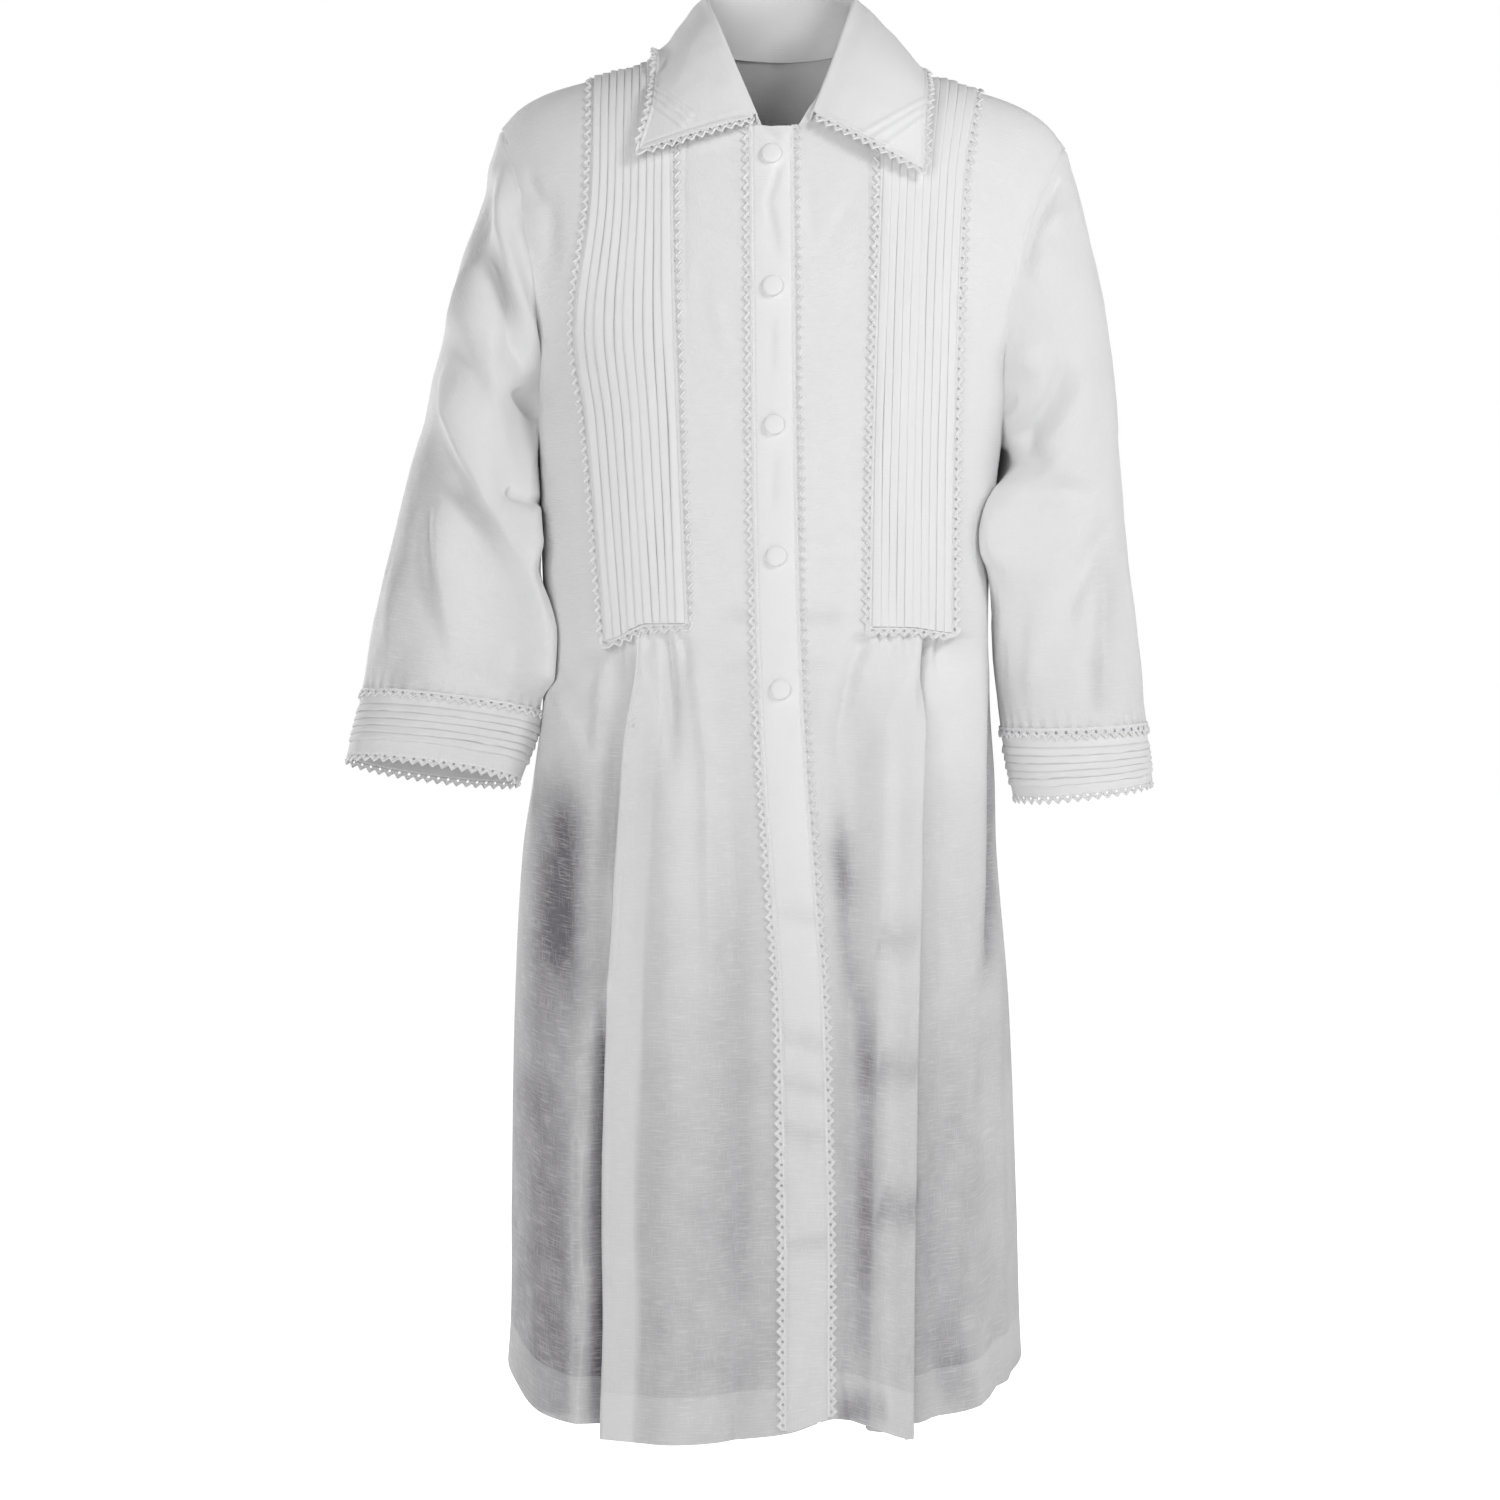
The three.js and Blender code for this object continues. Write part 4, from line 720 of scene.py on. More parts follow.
backFolds = [
    ([(-120, -420), (-150, -1300)], 26, 12, (0.2, 0.001)),
    ([(-62, -520), (-78, -1300)], 24, -9, (0.25, 0.001)),
    ([(-8, -380), (-18, -1300)], 30, 11, (0.2, 0.001)),
    ([(58, -560), (52, -1300)], 22, -10, (0.25, 0.001)),
    ([(118, -430), (116, -1300)], 28, 12, (0.2, 0.001)),
    ([(168, -640), (176, -1300)], 18, -7, (0.25, 0.001)),
    ([(-178, -700), (-188, -1300)], 14, -6, (0.3, 0.001)),
    ([(-38, -760), (-44, -1300)], (4, 9), 4, (0.4, 0.001)),
    ([(86, -820), (84, -1300)], (9, 4), 4, (0.4, 0.001)),
    ([(-104, -900), (-112, -1300)], (8, 4), -4, (0.4, 0.001)),
    ([(-215, -150), (-180, -300), (-120, -400)], (8, 14), 3.5, (0.3, 0.5)),
    ([(215, -165), (186, -300), (130, -410)], (14, 8), 3.5, (0.3, 0.5)),
    ([(-196, -180), (-160, -330)], (12, 6), -3, (0.3, 0.5)),
    ([(198, -190), (166, -330)], (6, 12), -3, (0.3, 0.5)),
    ([(-70, -70), (0, -92), (70, -72)], 12, 1.5, (0.4, 0.4)),
]


backShape = {
    "columns": 101, "neck": 0.32,  # share of the columns that end at the neckline
    "foldScale": 2.1, "beside": (0.3, 0.08),  # how much darker it is beside the seams, right and left
    # the allowance turns in this far above and below the underarm, more at its edge, and comes forwards
    "allowance": (0.1, 1.3), "allowanceTurn": 1.4, "forwards": (0.4, 3.4),
}


def backPanel():
    # The back: columns at even shares of the way round, drawn in to the neckline, shoulders and armholes
    share = np.linspace(-1, 1, backShape["columns"])
    sign, share = np.where(share < 0, -1.0, 1.0), np.abs(share)
    tip, neck = np.abs(eitherSide(sign, body["tipX"])), backShape["neck"]
    xTop = sign * np.where(share < neck, body["neckHalf"] * np.sin(np.minimum(share / neck, 1) * np.pi / 2),
                           mix(body["neckHalf"], tip, (share - neck) / (1 - neck)))
    sideHem = readTable(hemLine, "z", sign, by="turn") + pleats["hemStep"] * pleats["sideStep"]
    hem = mix(body["hemBack"], sideHem, ease(share))
    z, upShare = rowHeights(hem, topHeight(xTop, 1))
    ends = np.where(sign < 0, rowEnds(-1, z, upShare), rowEnds(1, z, upShare))
    turn = sign * np.where(share < 1, mix(share * ends, np.abs(turnAt(xTop, z)), upShare), ends)
    base = bodyPoint(turn, z, 1)
    x = base[..., 0]
    nearSide = 1 - ease((np.abs(turn) - 0.7) / 0.3)
    lower = below(z, -480, 150)
    rumple = crumple(x / 48, z / 84, 21) * mix(0.6, 1.5, lower)
    rumple = rumple + crumple(x / 15, z / 18, 23) * mix(0.12, 0.3, lower)
    lift = (backShape["foldScale"] * foldField(x, z, backFolds) + rumple) * nearSide
    grid = base + bodyNormal(turn, z, 1) * lift[..., None]
    grid[..., 1] = np.maximum(grid[..., 1], 0.3)
    # The seam allowance at each side, turned in and forwards behind the front's edge
    allowance = below(z, body["underarm"], 20)[:, [0, -1]]
    grid = np.pad(grid, ((0, 0), (2, 2), (0, 0)), "edge")
    x, z, turn = (np.pad(level, ((0, 0), (2, 2)), "edge") for level in (x, z, turn))
    hem = np.pad(hem, 2, "edge")
    for edge, side, inwards in ((1, 0, 1), (0, 0, 1), (-2, 1, -1), (-1, 1, -1)):
        last = edge in (0, -1)
        inwards = inwards * (backShape["allowanceTurn"] if last else 1)
        grid[:, edge, 0] += inwards * mix(*backShape["allowance"], allowance[:, side])
        grid[:, edge, 1] -= backShape["forwards"][last] * allowance[:, side]
    # A darker stretch beside the side seams, low in the skirt: painted shade and see-through grey carried round
    # from the fronts
    hemUp = z - hem
    beside = ease((np.abs(turn) - 0.66) / 0.34) * below(z, -700, 220)
    beside = beside * aboveHem(hemUp) * eitherSide(x, backShape["beside"])
    shown = {"sheerAndShade": sheerShade(x, z, hemUp) * 0.8 + beside, "away": besideHemStitches(hemUp)}
    return sewnPiece("backPanel", ["back"], grid, (grid.shape[1] // 2, (0, 1, 0)), clothThick,
                     singleLinen, shown, stitched=0)


back = backPanel()
print("back made")

placketShape = {
    "half": 18, "lift": 1.5, "crown": 0.9, "thick": 1.4, "stitchIn": 1.6, "stitchDeep": 0.45, "hemDeep": 0.4,
    "columns": 27, "rows": 300, "shade": 0.1, "levelled": 60,  # its rows follow the hem up to this height
}
placketDents = [
    ([(-22, -806), (60, -822)], (7, 12), -1.3, (0.4, 0.2)),
    ([(-22, -862), (60, -850)], 12, 1.2, (0.2, 0.4)),
    ([(-22, -914), (60, -932)], (6, 12), -1.7, (0.4, 0.2)),
    ([(-22, -950), (60, -975)], (5, 9), -1.7, (0.3, 0.2)),
    ([(-22, -992), (60, -1012)], (11, 8), -1.8, (0.15, 0.4)),
    ([(-22, -1050), (60, -1054)], 9, 2.0, (0.3, 0.3)),
    ([(-22, -1102), (60, -1092)], (10, 6), -1.8, (0.3, 0.2)),
    ([(-22, -1160), (60, -1155)], 8, 1.8, (0.3, 0.3)),
    ([(7, -133), (-2, -155), (-9, -180), (-2, -206), (1, -240)], (6, 3), -1.6, (0.2, 0.4)),
    ([(1, -133), (-8, -158), (-15, -182), (-9, -210)], (5, 4), 1, (0.2, 0.4)),
    ([(-25, -108), (-6, -128)], (3, 4), 1.8, (0.2, 0.3)),
    ([(-16, -104), (1, -122)], (3, 3), -1.6, (0.2, 0.3)),
    ([(12, -106), (4, -122)], (3, 4), 1.4, (0.2, 0.3)),
    ([(-22, -236), (14, -241)], 6, 0.8, (0.3, 0.3)),
    ([(-4, -275), (-6, -352)], (5, 3), -0.8, (0.3, 0.5)),
    ([(-3, -398), (-8, -470)], (3, 5), -0.8, (0.3, 0.5)),
]


def hemAt(x, z):
    # Height of the hem below a point of the front
    return readTable(hemLine, "z", turnAt(x, z), by="turn")


def wander(z):
    # How far the strip and its lace stray from a ruled line
    return 0.5 * softNoise(z / 70, 3.5, 31)


def placketStrip():
    # A double strip down the middle, slightly crowned across, with its edges turned in and stitched
    half, foot = placketShape["half"], body["hemMiddle"]
    across = half * np.sin(np.linspace(-np.pi / 2, np.pi / 2, placketShape["columns"]))
    z = np.concatenate([np.linspace(foot + 1, foot + 12, 6),
                        np.linspace(foot + 14.6, body["neckFront"] - 0.5, placketShape["rows"])])
    z, s = np.meshgrid(z, across, indexing="ij")
    x = placketX(z) + s + wander(z)
    hemZ = hemAt(x, z)
    z = z + (hemZ - foot) * (1 - ease((z - foot) / placketShape["levelled"]))
    dents, inwards = foldField(x, z, placketDents), half - np.abs(s)
    lift = placketShape["lift"] + placketShape["crown"] * (1 - (s / half) ** 2)
    lift = lift - placketShape["stitchDeep"] * hill(inwards - placketShape["stitchIn"], 0.9)
    lift = lift + dents * (1 - 0.55 * (s / half) ** 2) + 0.35 * crumple(s / 15, z / 26, 33)
    grid = onFront(x, z, lift - placketShape["hemDeep"] * hill(z - hemZ - hemDepth, 1.3))
    # Painted shade in the creases, and sheer grey below the waist
    shade = placketShape["shade"] * np.clip(-dents, 0, 2)
    shown = {"sheerAndShade": 0.02 + 0.3 * below(z, -640, 480) + shade,
             "away": np.minimum(np.abs(inwards - placketShape["stitchIn"]), 9)}
    return sewnPiece("placketStrip", ["placket"], grid,
                     (placketShape["columns"] // 2, (0, -1, 0)), placketShape["thick"], doubleLinen, shown,
                     stitched=1)


placket = placketStrip()
print("placket made")

# One repeat of the crochet edging: a narrow header, a round hole, and a cord that zigzags past each hole
laceShape = {
    # distances out from the sewn edge, a hole's radius, and the width of the cord
    "pitch": 9.0, "header": 1.4, "hole": 1.3, "holeAt": 3.3, "valley": 5.0, "peak": 9.0, "cord": 2.2,
    "thick": 0.6, "lift": 1.0, "columns": 8,
}


def laceTemplate():
    # Rows of one repeat from the sewn edge outwards, as lengths along, lengths out, heights, and how much painted
    # shade a point takes: most in the net (1), none on the cord (0). The cells between the third and fifth rows are
    # left out of the middle, and twelve points there lie on a circle. The last three rows are the raised zigzag
    # cord.
    p, n = laceShape["pitch"], laceShape["columns"]
    along = np.tile(np.arange(n) * p / n, (8, 1))
    outer = np.array([0, 0.2, 0.48, 0.78, 1, 0.78, 0.48, 0.2]) * (laceShape["peak"] - laceShape["valley"])
    outer = outer + laceShape["valley"]
    r, c, cord = laceShape["hole"], laceShape["holeAt"], laceShape["cord"]
    out = np.stack([np.full(n, level) for level in (0, laceShape["header"], c - r, c, c + r)]
                   + [outer - cord, outer - cord / 2, outer])
    for row, least in ((4, 0.25), (3, 0.3), (2, 0.3)):
        out[row] = np.minimum(out[row], out[row + 1] - least)
    ring = [(3, 6), (4, 6), (4, 5), (4, 4), (4, 3), (4, 2), (3, 2), (2, 2), (2, 3), (2, 4), (2, 5), (2, 6)]
    for k, (i, j) in enumerate(ring):
        along[i, j] = p / 2 + r * math.cos(k * math.pi / 6)
        out[i, j] = c + r * math.sin(k * math.pi / 6)
    height = np.repeat([[0.0], [0.6], [0.0], [-0.1], [0.0], [0.2], [1.3], [0.1]], n, axis=1)
    # Painted shade: most in the net, none on the raised cord
    netShade = np.repeat([[0.3], [0.1], [1.0], [1.0], [1.0], [0.8], [0.0], [0.1]], n, axis=1)
    cells = np.ones((7, n), bool)
    cells[2:4, 2:6] = False
    return along, out, height, netShade, cells


def laceStrip(name, length, place, node, outwards, closed=False, seed=0):
    # Lace laid along a path: the template repeated over its length, then each point of it placed by its
    # length along the path (s), its distance out from there (t) and its height (h)
    repeats = max(2, round(length / laceShape["pitch"]))
    along, out, height, netShade, cells = laceTemplate()
    scale = length / (repeats * laceShape["pitch"])
    s = np.concatenate([(along + k * laceShape["pitch"]) * scale for k in range(repeats)], axis=1)
    t, h, netShade, cells = (np.tile(grid, repeats) for grid in (out, height, netShade, cells))
    if not closed:
        s = np.concatenate([s, s[:, :1] + length], axis=1)
        t, h, netShade = (np.concatenate([grid, grid[:, :1]], axis=1) for grid in (t, h, netShade))
    t = t * (1 + 0.06 * softNoise(s / 31, 0.5, 40 + seed))
    h = h + 0.3 * (1 + softNoise(s / 23, t / 9, 60 + seed)) * t / 8
    return sewnPiece(name, [node], place(s, t, h), (s.shape[1] // 2, outwards), laceShape["thick"],
                     laceThread, {"netShade": netShade}, uv=np.stack([s, t], axis=-1) / 1000, wrapped=closed, cells=cells)


def placketLace(name, sign):
    # Lace down one edge of the placket, its holes and points away from the strip
    hemZ = float(hemAt(placketX(body["hemMiddle"]) + sign * placketShape["half"], body["hemMiddle"]))
    z = np.linspace(body["neckFront"] + 1, hemZ + 3, 900)
    reached = reachedAlong(onFront(placketX(z), z, 2.5))

    def place(s, t, h):
        # Down the strip to this height, and across from the strip's edge
        height = np.interp(s, reached, z)
        x = placketX(height) + sign * (placketShape["half"] - 0.3 + t) + wander(height)
        return onFront(x, height, laceShape["lift"] + h)

    return laceStrip("lacePlacket" + name, reached[-1], place, "lace_placket_" + name.lower(), (0, -1, 0),
                     seed=1 if sign < 0 else 2)


placketLaces = [placketLace("Right", -1), placketLace("Left", 1)]

tuckBands = {
    "right": {
        "sign": -1, "inner": {"z": [-566, -400, -230, -20], "x": [-78, -85, -91, -93]},
        "outer": {"z": [-566, -373, -287, -176, -50], "x": [-158, -175, -186, -172, -171]},
        "footOuter": -573, "footInner": -559, "wobble": 0.09,
    },
    "left": {
        "sign": 1, "inner": {"z": [-566, -400, -150, -20], "x": [77, 80, 88, 93]},
        "outer": {"z": [-566, -380, -155, -64], "x": [157, 160, 169, 184]},
        "footOuter": -566, "footInner": -562, "wobble": 0.07,
    },
    "tucks": 10, "rows": 108, "rise": 2.1, "lift": 1.2, "thick": 0.5, "sheerAndShade": 0.06, "footShade": 0.45,
    "edgeIn": 4.6, "innerTop": 93, "outerTop": 172,  # in from its outline, and how far out its sides are at the top
}
# Across one tuck, from its stitching to the next: share of the pitch, and share of its rise. It climbs to
# the free edge, turns back under it and comes out again at the foot of the next one.
tuckProfile = {
    "share": [0.0, 0.05, 0.16, 0.4, 0.7, 0.9, 0.955, 0.96, 0.9, 0.84, 0.83, 0.92],
    "rise": [0.1, 0.36, 0.52, 0.72, 0.92, 1.0, 0.9, 0.66, 0.5, 0.36, 0.1, 0.0],
}


def bandFoot(band, share):
    # The foot of a band, with its outer corner hanging a little lower
    return mix(band["footInner"], band["footOuter"], ease((share - 0.45) / 0.55))


def tuckBand(name):
    # Ten narrow tucks side by side, their free edges outwards, a little uneven down their length
    band, count = tuckBands[name], tuckBands["tucks"]
    sign = band["sign"]
    number = np.append(np.repeat(np.arange(count), len(tuckProfile["share"])), count - 1)
    ends = (("share", 1.0), ("rise", 0.06))
    share, rise = (np.append(np.tile(tuckProfile[key], count), end) for key, end in ends)
    middle = (number + share) / count
    top = shoulderHeight(sign * mix(tuckBands["innerTop"], tuckBands["outerTop"], middle)) - 2
    z = mix(bandFoot(band, middle) + 4, top, np.linspace(0, 1, tuckBands["rows"])[:, None])
    noise = lambda long, step, seed: softNoise(z / long, number * step, seed)
    free = ease((share - 0.4) / 0.4) * (share < 0.99)
    uneven = band["wobble"] * noise(56, 3.7, 71) + 0.06 * noise(120, 1.3, 73)
    across = (number + np.minimum(share + uneven * free, 1.06)) / count
    inner = readTable(band["inner"], "x", z) + sign * tuckBands["edgeIn"]
    outer = readTable(band["outer"], "x", z) - sign * tuckBands["edgeIn"]
    height = rise * tuckBands["rise"] * (1 + 0.25 * noise(60, 2.1, 75))
    grid = onFront(mix(inner, outer, across), z, tuckBands["lift"] + height)
    # Sheer grey, and painted shade in the grooves beside each free edge
    sheerAndShade = tuckBands["sheerAndShade"] + tuckBands["footShade"] * (rise < 0.4)
    return sewnPiece("tuckBand" + name.capitalize(), ["tuck_band_" + name], grid, (4, (0, -1, 0)),
                     tuckBands["thick"], tuckedLinen, {"sheerAndShade": sheerAndShade[None, :]})


bands = {name: tuckBand(name) for name in ("right", "left")}


def bandLace(name):
    # Lace down the outer side of a band, round its foot and up the inner side, turning round its corners
    band = tuckBands[name]
    sign, away = band["sign"], laceShape["pitch"] / 2
    outerTop, innerTop = (shoulderHeight(float(tuckBands[key] * sign)) - 3 for key in ("outerTop", "innerTop"))
    zOuter = np.linspace(outerTop, band["footOuter"] + 5, 300)
    zInner = np.linspace(band["footInner"] + 4, innerTop, 300)
    outer = np.stack([readTable(band["outer"], "x", zOuter) - sign * away, zOuter], axis=1)
    inner = np.stack([readTable(band["inner"], "x", zInner) + sign * away, zInner], axis=1)
    share = np.linspace(1, 0, 60)[1:-1]
    foot = np.stack([mix(inner[0, 0], outer[-1, 0], share), bandFoot(band, share) + 4], axis=1)
    line = np.concatenate([outer, foot, inner])
    reached = reachedAlong(line)
    even = np.arange(0, reached[-1], 1.0)
    line = resampled(even, reached, line)
    tangent = unit(smoothed(unit(np.gradient(line, axis=0)), 9))
    side = np.stack([tangent[:, 1], -tangent[:, 0]], axis=1) * -sign

    def place(s, t, h):
        # From the band's edge, square to it
        at = resampled(s, even, line) + resampled(s, even, side) * t[..., None]
        return onFront(at[..., 0], at[..., 1], laceShape["lift"] + 0.2 + h)

    return laceStrip("laceBand" + name.capitalize(), even[-1], place, "lace_band_" + name, (0, -1, 0),
                     seed=3 if sign < 0 else 4)


bandLaces = {name: bandLace(name) for name in ("right", "left")}
print("bands and their lace made")

# Level sections of the sleeves: outer and inner points across the arm, and half the depth front to back.
# Row 0 is the armhole, and rows 8 and 9 the upper and lower edge of the cuff.
sleeveSections = {
    "right": {
        "sign": -1, "row": list(range(10)),
        "outX": [-254, -270, -288, -306, -323, -341, -358, -372, -380, -392],
        "outZ": [-96, -148, -210, -282, -348, -425, -498, -560, -617, -672],
        "inX": [-214, -218, -219, -218, -216, -213, -212, -212, -216, -235],
        "inZ": [-385, -396, -410, -428, -450, -488, -540, -592, -636, -692],
        "depth": [66, 71, 72, 70, 66, 61, 54, 46, 39, 33], "y": [0, 0, 1, 2, 2, -2, -8, -16, -24, -30],
        "fallBack": 16, "rear": 0,
    },
    "left": {
        "sign": 1, "row": list(range(10)),
        "outX": [264, 276, 289, 302, 310, 314, 320, 329, 336, 340],
        "outZ": [-114, -156, -210, -272, -334, -405, -482, -566, -646, -693],
        "inX": [204, 208, 209, 208, 206, 201, 197, 197, 205, 215],
        "inZ": [-385, -394, -406, -422, -442, -474, -520, -585, -650, -706],
        "depth": [66, 70, 71, 69, 66, 62, 58, 53, 48, 45], "y": [0, 0, 1, 2, 2, 0, -5, -12, -20, -26],
        "fallBack": -10, "rear": 22,
    },
    # the rows where the cuff begins and the tube and this table end, and how many change from the armhole
    "columns": 164, "rows": 114, "cuffRow": 8, "endRow": 7.99, "lastRow": 9, "capRows": 3,
    # how far its edge is under the panels, how clear the tube stays of them, and how far its rear side is
    # moved in, most of all at this height
    "underSeam": 1.6, "clear": 3.4, "rearLeast": 9, "rearAt": -408,
    "foldScale": 1.3, "gathers": 34, "gatherRise": 0.9,
}


def sleevePoint(name, row, turn):
    # An oval round the arm at every row, turn going from the top round by the front; over the first rows
    # it changes from the armhole's own outline
    table, last = sleeveSections[name], sleeveSections["lastRow"]
    row, turn = np.broadcast_arrays(np.asarray(row, float), np.asarray(turn, float))
    at = {}
    for key in ("outX", "outZ", "inX", "inZ", "depth", "y"):
        beyond = table[key][-1] + (row - last) * (table[key][-1] - table[key][-2])
        at[key] = np.where(row <= last, readTable(table, key, row, by="row"), beyond)
    out, forwards = (1 + np.cos(turn)) / 2, np.sin(turn)
    z = mix(at["inZ"], at["outZ"], out) + table["fallBack"] * forwards * 0.5 * ease((row - 5) / 4)
    place = points(mix(at["inX"], at["outX"], out), at["y"] - at["depth"] * forwards, z)
    blend = 1 - ease(row / sleeveSections["capRows"])
    sign, drop = table["sign"], 1 - out
    tipX, tipZ = (eitherSide(sign, body[key]) for key in ("tipX", "tipZ"))
    capZ = mix(tipZ, body["underarm"], drop)
    facing = np.where(forwards >= 0, -1, 1)
    armhole = bodyPoint(sign * np.abs(turnAt(armholeX(sign, drop), capZ)), capZ, facing)
    ovalX = mix(tipX, bodyPoint(sign, body["underarm"], -1)[..., 0], drop)
    oval = points(ovalX, -table["depth"][0] * forwards, capZ)
    return place + (armhole - oval) * blend[..., None]


def sleeveNormal(name, row, turn):
    # Square to two short steps on the sleeve, one round it and one down it, and turned outwards
    across = sleevePoint(name, row, turn + 0.02) - sleevePoint(name, row, turn - 0.02)
    down = sleevePoint(name, row + 0.03, turn) - sleevePoint(name, np.maximum(row - 0.03, 0), turn)
    return unit(np.cross(down, across)) * -sleeveSections[name]["sign"]


# Folds on the front half of each sleeve, then on its back half
sleeveFolds = {
    "right": [
        ([(-252, -128), (-249, -195), (-236, -255), (-221, -315), (-214, -345)], (8, 7), 8, (0.25, 0.3)),
        ([(-268, -130), (-268, -200), (-262, -232)], (16, 9), -7, (0.3, 0.5)),
        ([(-270, -214), (-286, -251), (-299, -295)], (9, 26), 6, (0.3, 0.3)),
        ([(-273, -212), (-256, -237), (-246, -263), (-238, -299), (-230, -334)], (16, 5), -8, (0.2, 0.3)),
        ([(-296, -300), (-301, -331), (-298, -364), (-286, -396), (-266, -434), (-241, -479), (-218, -512)],
         (6, 30), 12, (0.3, 0.12)),
        ([(-231, -158), (-228, -190), (-219, -222), (-215, -246)], 5, -6, (0.3, 0.3)),
        ([(-322, -325), (-316, -372), (-301, -412), (-280, -450), (-258, -492)], (15, 12), -7, (0.3, 0.4)),
        ([(-300, -296), (-286, -316), (-270, -337), (-255, -356)], (8, 10), -4, (0.3, 0.4)),
        ([(-300, -425), (-307, -460), (-306, -500), (-297, -557), (-288, -600)], (8, 26), 7, (0.25, 0.4)),
        ([(-320, -430), (-323, -480), (-318, -560)], (9, 9), -5, (0.3, 0.4)),
        ([(-345, -480), (-350, -560), (-352, -610)], (10, 12), 4, (0.4, 0.4)),
        ([(-232, -560), (-242, -620)], (8, 14), -3, (0.4, 0.3)),
        ([(-234, -340), (-212, -366)], (4, 6), -7, (0.2, 0.2)),
        ([(-236, -432), (-214, -446)], (5, 5), -8, (0.3, 0.2)),
        ([(-351, -606), (-352, -634)], 2.6, -2, (0.6, 0.1)),
        ([(-331, -604), (-332, -634)], 2.6, -2, (0.6, 0.1)),
        ([(-312, -602), (-314, -634)], 2.6, -2.2, (0.6, 0.1)),
        ([(-302, -606), (-303, -636)], 2.4, -1.6, (0.6, 0.1)),
    ],
    "left": [
        ([(257, -142), (236, -186), (217, -246)], (5, 4), -9, (0.15, 0.3)),
        ([(264, -158), (242, -205), (225, -252)], (5, 9), 4, (0.3, 0.3)),
        ([(254, -180), (233, -222), (219, -258)], (5, 9), -4, (0.3, 0.4)),
        ([(226, -285), (216, -335)], 15, 6, (0.4, 0.4)),
        ([(196, -350), (218, -354)], 8, -5, (0.2, 0.4)),
        ([(262, -300), (246, -345), (228, -373), (210, -400)], (9, 15), -9, (0.35, 0.2)),
        ([(288, -306), (270, -350), (250, -386), (228, -414)], (11, 22), 5, (0.35, 0.25)),
        ([(231, -370), (221, -404)], (6, 7), -3, (0.4, 0.4)),
        ([(222, -420), (255, -416), (298, -421)], 9, 3, (0.3, 0.3)),
        ([(214, -442), (255, -434), (300, -438)], 9, -3, (0.3, 0.3)),
        ([(306, -448), (289, -488), (266, -532), (262, -580)], (16, 7), -6, (0.3, 0.4)),
        ([(295, -486), (293, -560), (292, -636)], (6, 14), 4, (0.3, 0.3)),
        ([(284, -565), (281, -645)], 9, -4, (0.4, 0.3)),
        ([(232, -520), (228, -640)], (7, 12), 3, (0.4, 0.3)),
    ],
    "rightBack": [
        ([(-262, -170), (-280, -260), (-296, -350), (-300, -450)], (8, 22), 8, (0.3, 0.3)),
        ([(-248, -240), (-262, -330), (-288, -430)], 12, -6, (0.3, 0.3)),
        ([(-226, -400), (-262, -450), (-312, -480)], (10, 12), 7, (0.3, 0.3)),
        ([(-222, -440), (-260, -490), (-300, -520)], 9, -7, (0.3, 0.3)),
        ([(-330, -480), (-340, -620)], 14, 5, (0.4, 0.3)),
        ([(-262, -540), (-270, -640)], 12, -4, (0.4, 0.3)),
    ],
    "leftBack": [
        ([(268, -180), (276, -270), (284, -360), (282, -450)], (22, 8), 8, (0.3, 0.3)),
        ([(244, -250), (252, -340), (270, -430)], 12, -6, (0.3, 0.3)),
        ([(216, -390), (250, -440), (296, -466)], (10, 12), 7, (0.3, 0.3)),
        ([(212, -430), (248, -482), (286, -510)], 9, -7, (0.3, 0.3)),
        ([(306, -500), (312, -640)], 12, 5, (0.4, 0.3)),
        ([(240, -540), (246, -650)], 12, -4, (0.4, 0.3)),
    ],
}
# Painted shade along the sleeves' folds, where they look a little darker, as shares of the sheer and shade
# attribute
sleeveShades = {
    "right": [
        ([(-268, -160), (-272, -190), (-281, -224), (-290, -262), (-296, -302)], (8, 9), 0.28, (0.3, 0.35)),
        ([(-318, -352), (-322, -400), (-333, -445), (-343, -490), (-345, -560), (-342, -650)],
         (12, 26), 0.23, (0.3, 0.1)),
        ([(-232, -165), (-228, -190), (-219, -220), (-215, -250)], 5.5, 0.35, (0.3, 0.3)),
        ([(-266, -208), (-254, -234), (-246, -262), (-238, -292)], 7, 0.26, (0.3, 0.4)),
        ([(-300, -424), (-280, -442), (-262, -462), (-246, -486)], 8, 0.2, (0.3, 0.4)),
    ],
    "left": [
        ([(297, -440), (296, -520), (290, -600), (288, -640)], (9, 11), 0.09, (0.3, 0.1)),
    ],
}
# How far the inner side of each sleeve is moved across by height: where it bends at the elbow and swings out
sleeveInner = {
    "right": {"z": [-320, -345, -394, -436, -456, -490, -520, -560, -600, -640],
              "x": [0, -9, -7, -15, -9, -8, -3, 0, 0, 0]},
    "left": {"z": [-350, -385, -405, -420, -430, -453, -486, -505, -585, -646],
             "x": [0, -2, 9, 2, -2, -5, -5, 0, 0, 0]},
}
# The same for the very edge of that side
sleeveEdge = {
    "right": {"z": [-400, -440, -480, -505, -535, -560, -610, -640], "x": [0, 0, -4, -5, 5, 11, 10, 0]},
    "left": {"z": [-385, -405, -420, -430, -453, -486, -505, -540], "x": [0, 5, -2, -13, -20, -18, -8, 0]},
}
# The inner side hangs a little in front of the body: how far forwards, by height
sleeveForward = {
    "right": {"z": [-360, -400, -430, -460, -600, -650], "y": [0, 22, 40, 58, 50, 0]},
    "left": {"z": [-380, -425, -450, -490, -540, -650], "y": [0, 26, 56, 54, 14, 0]},
}


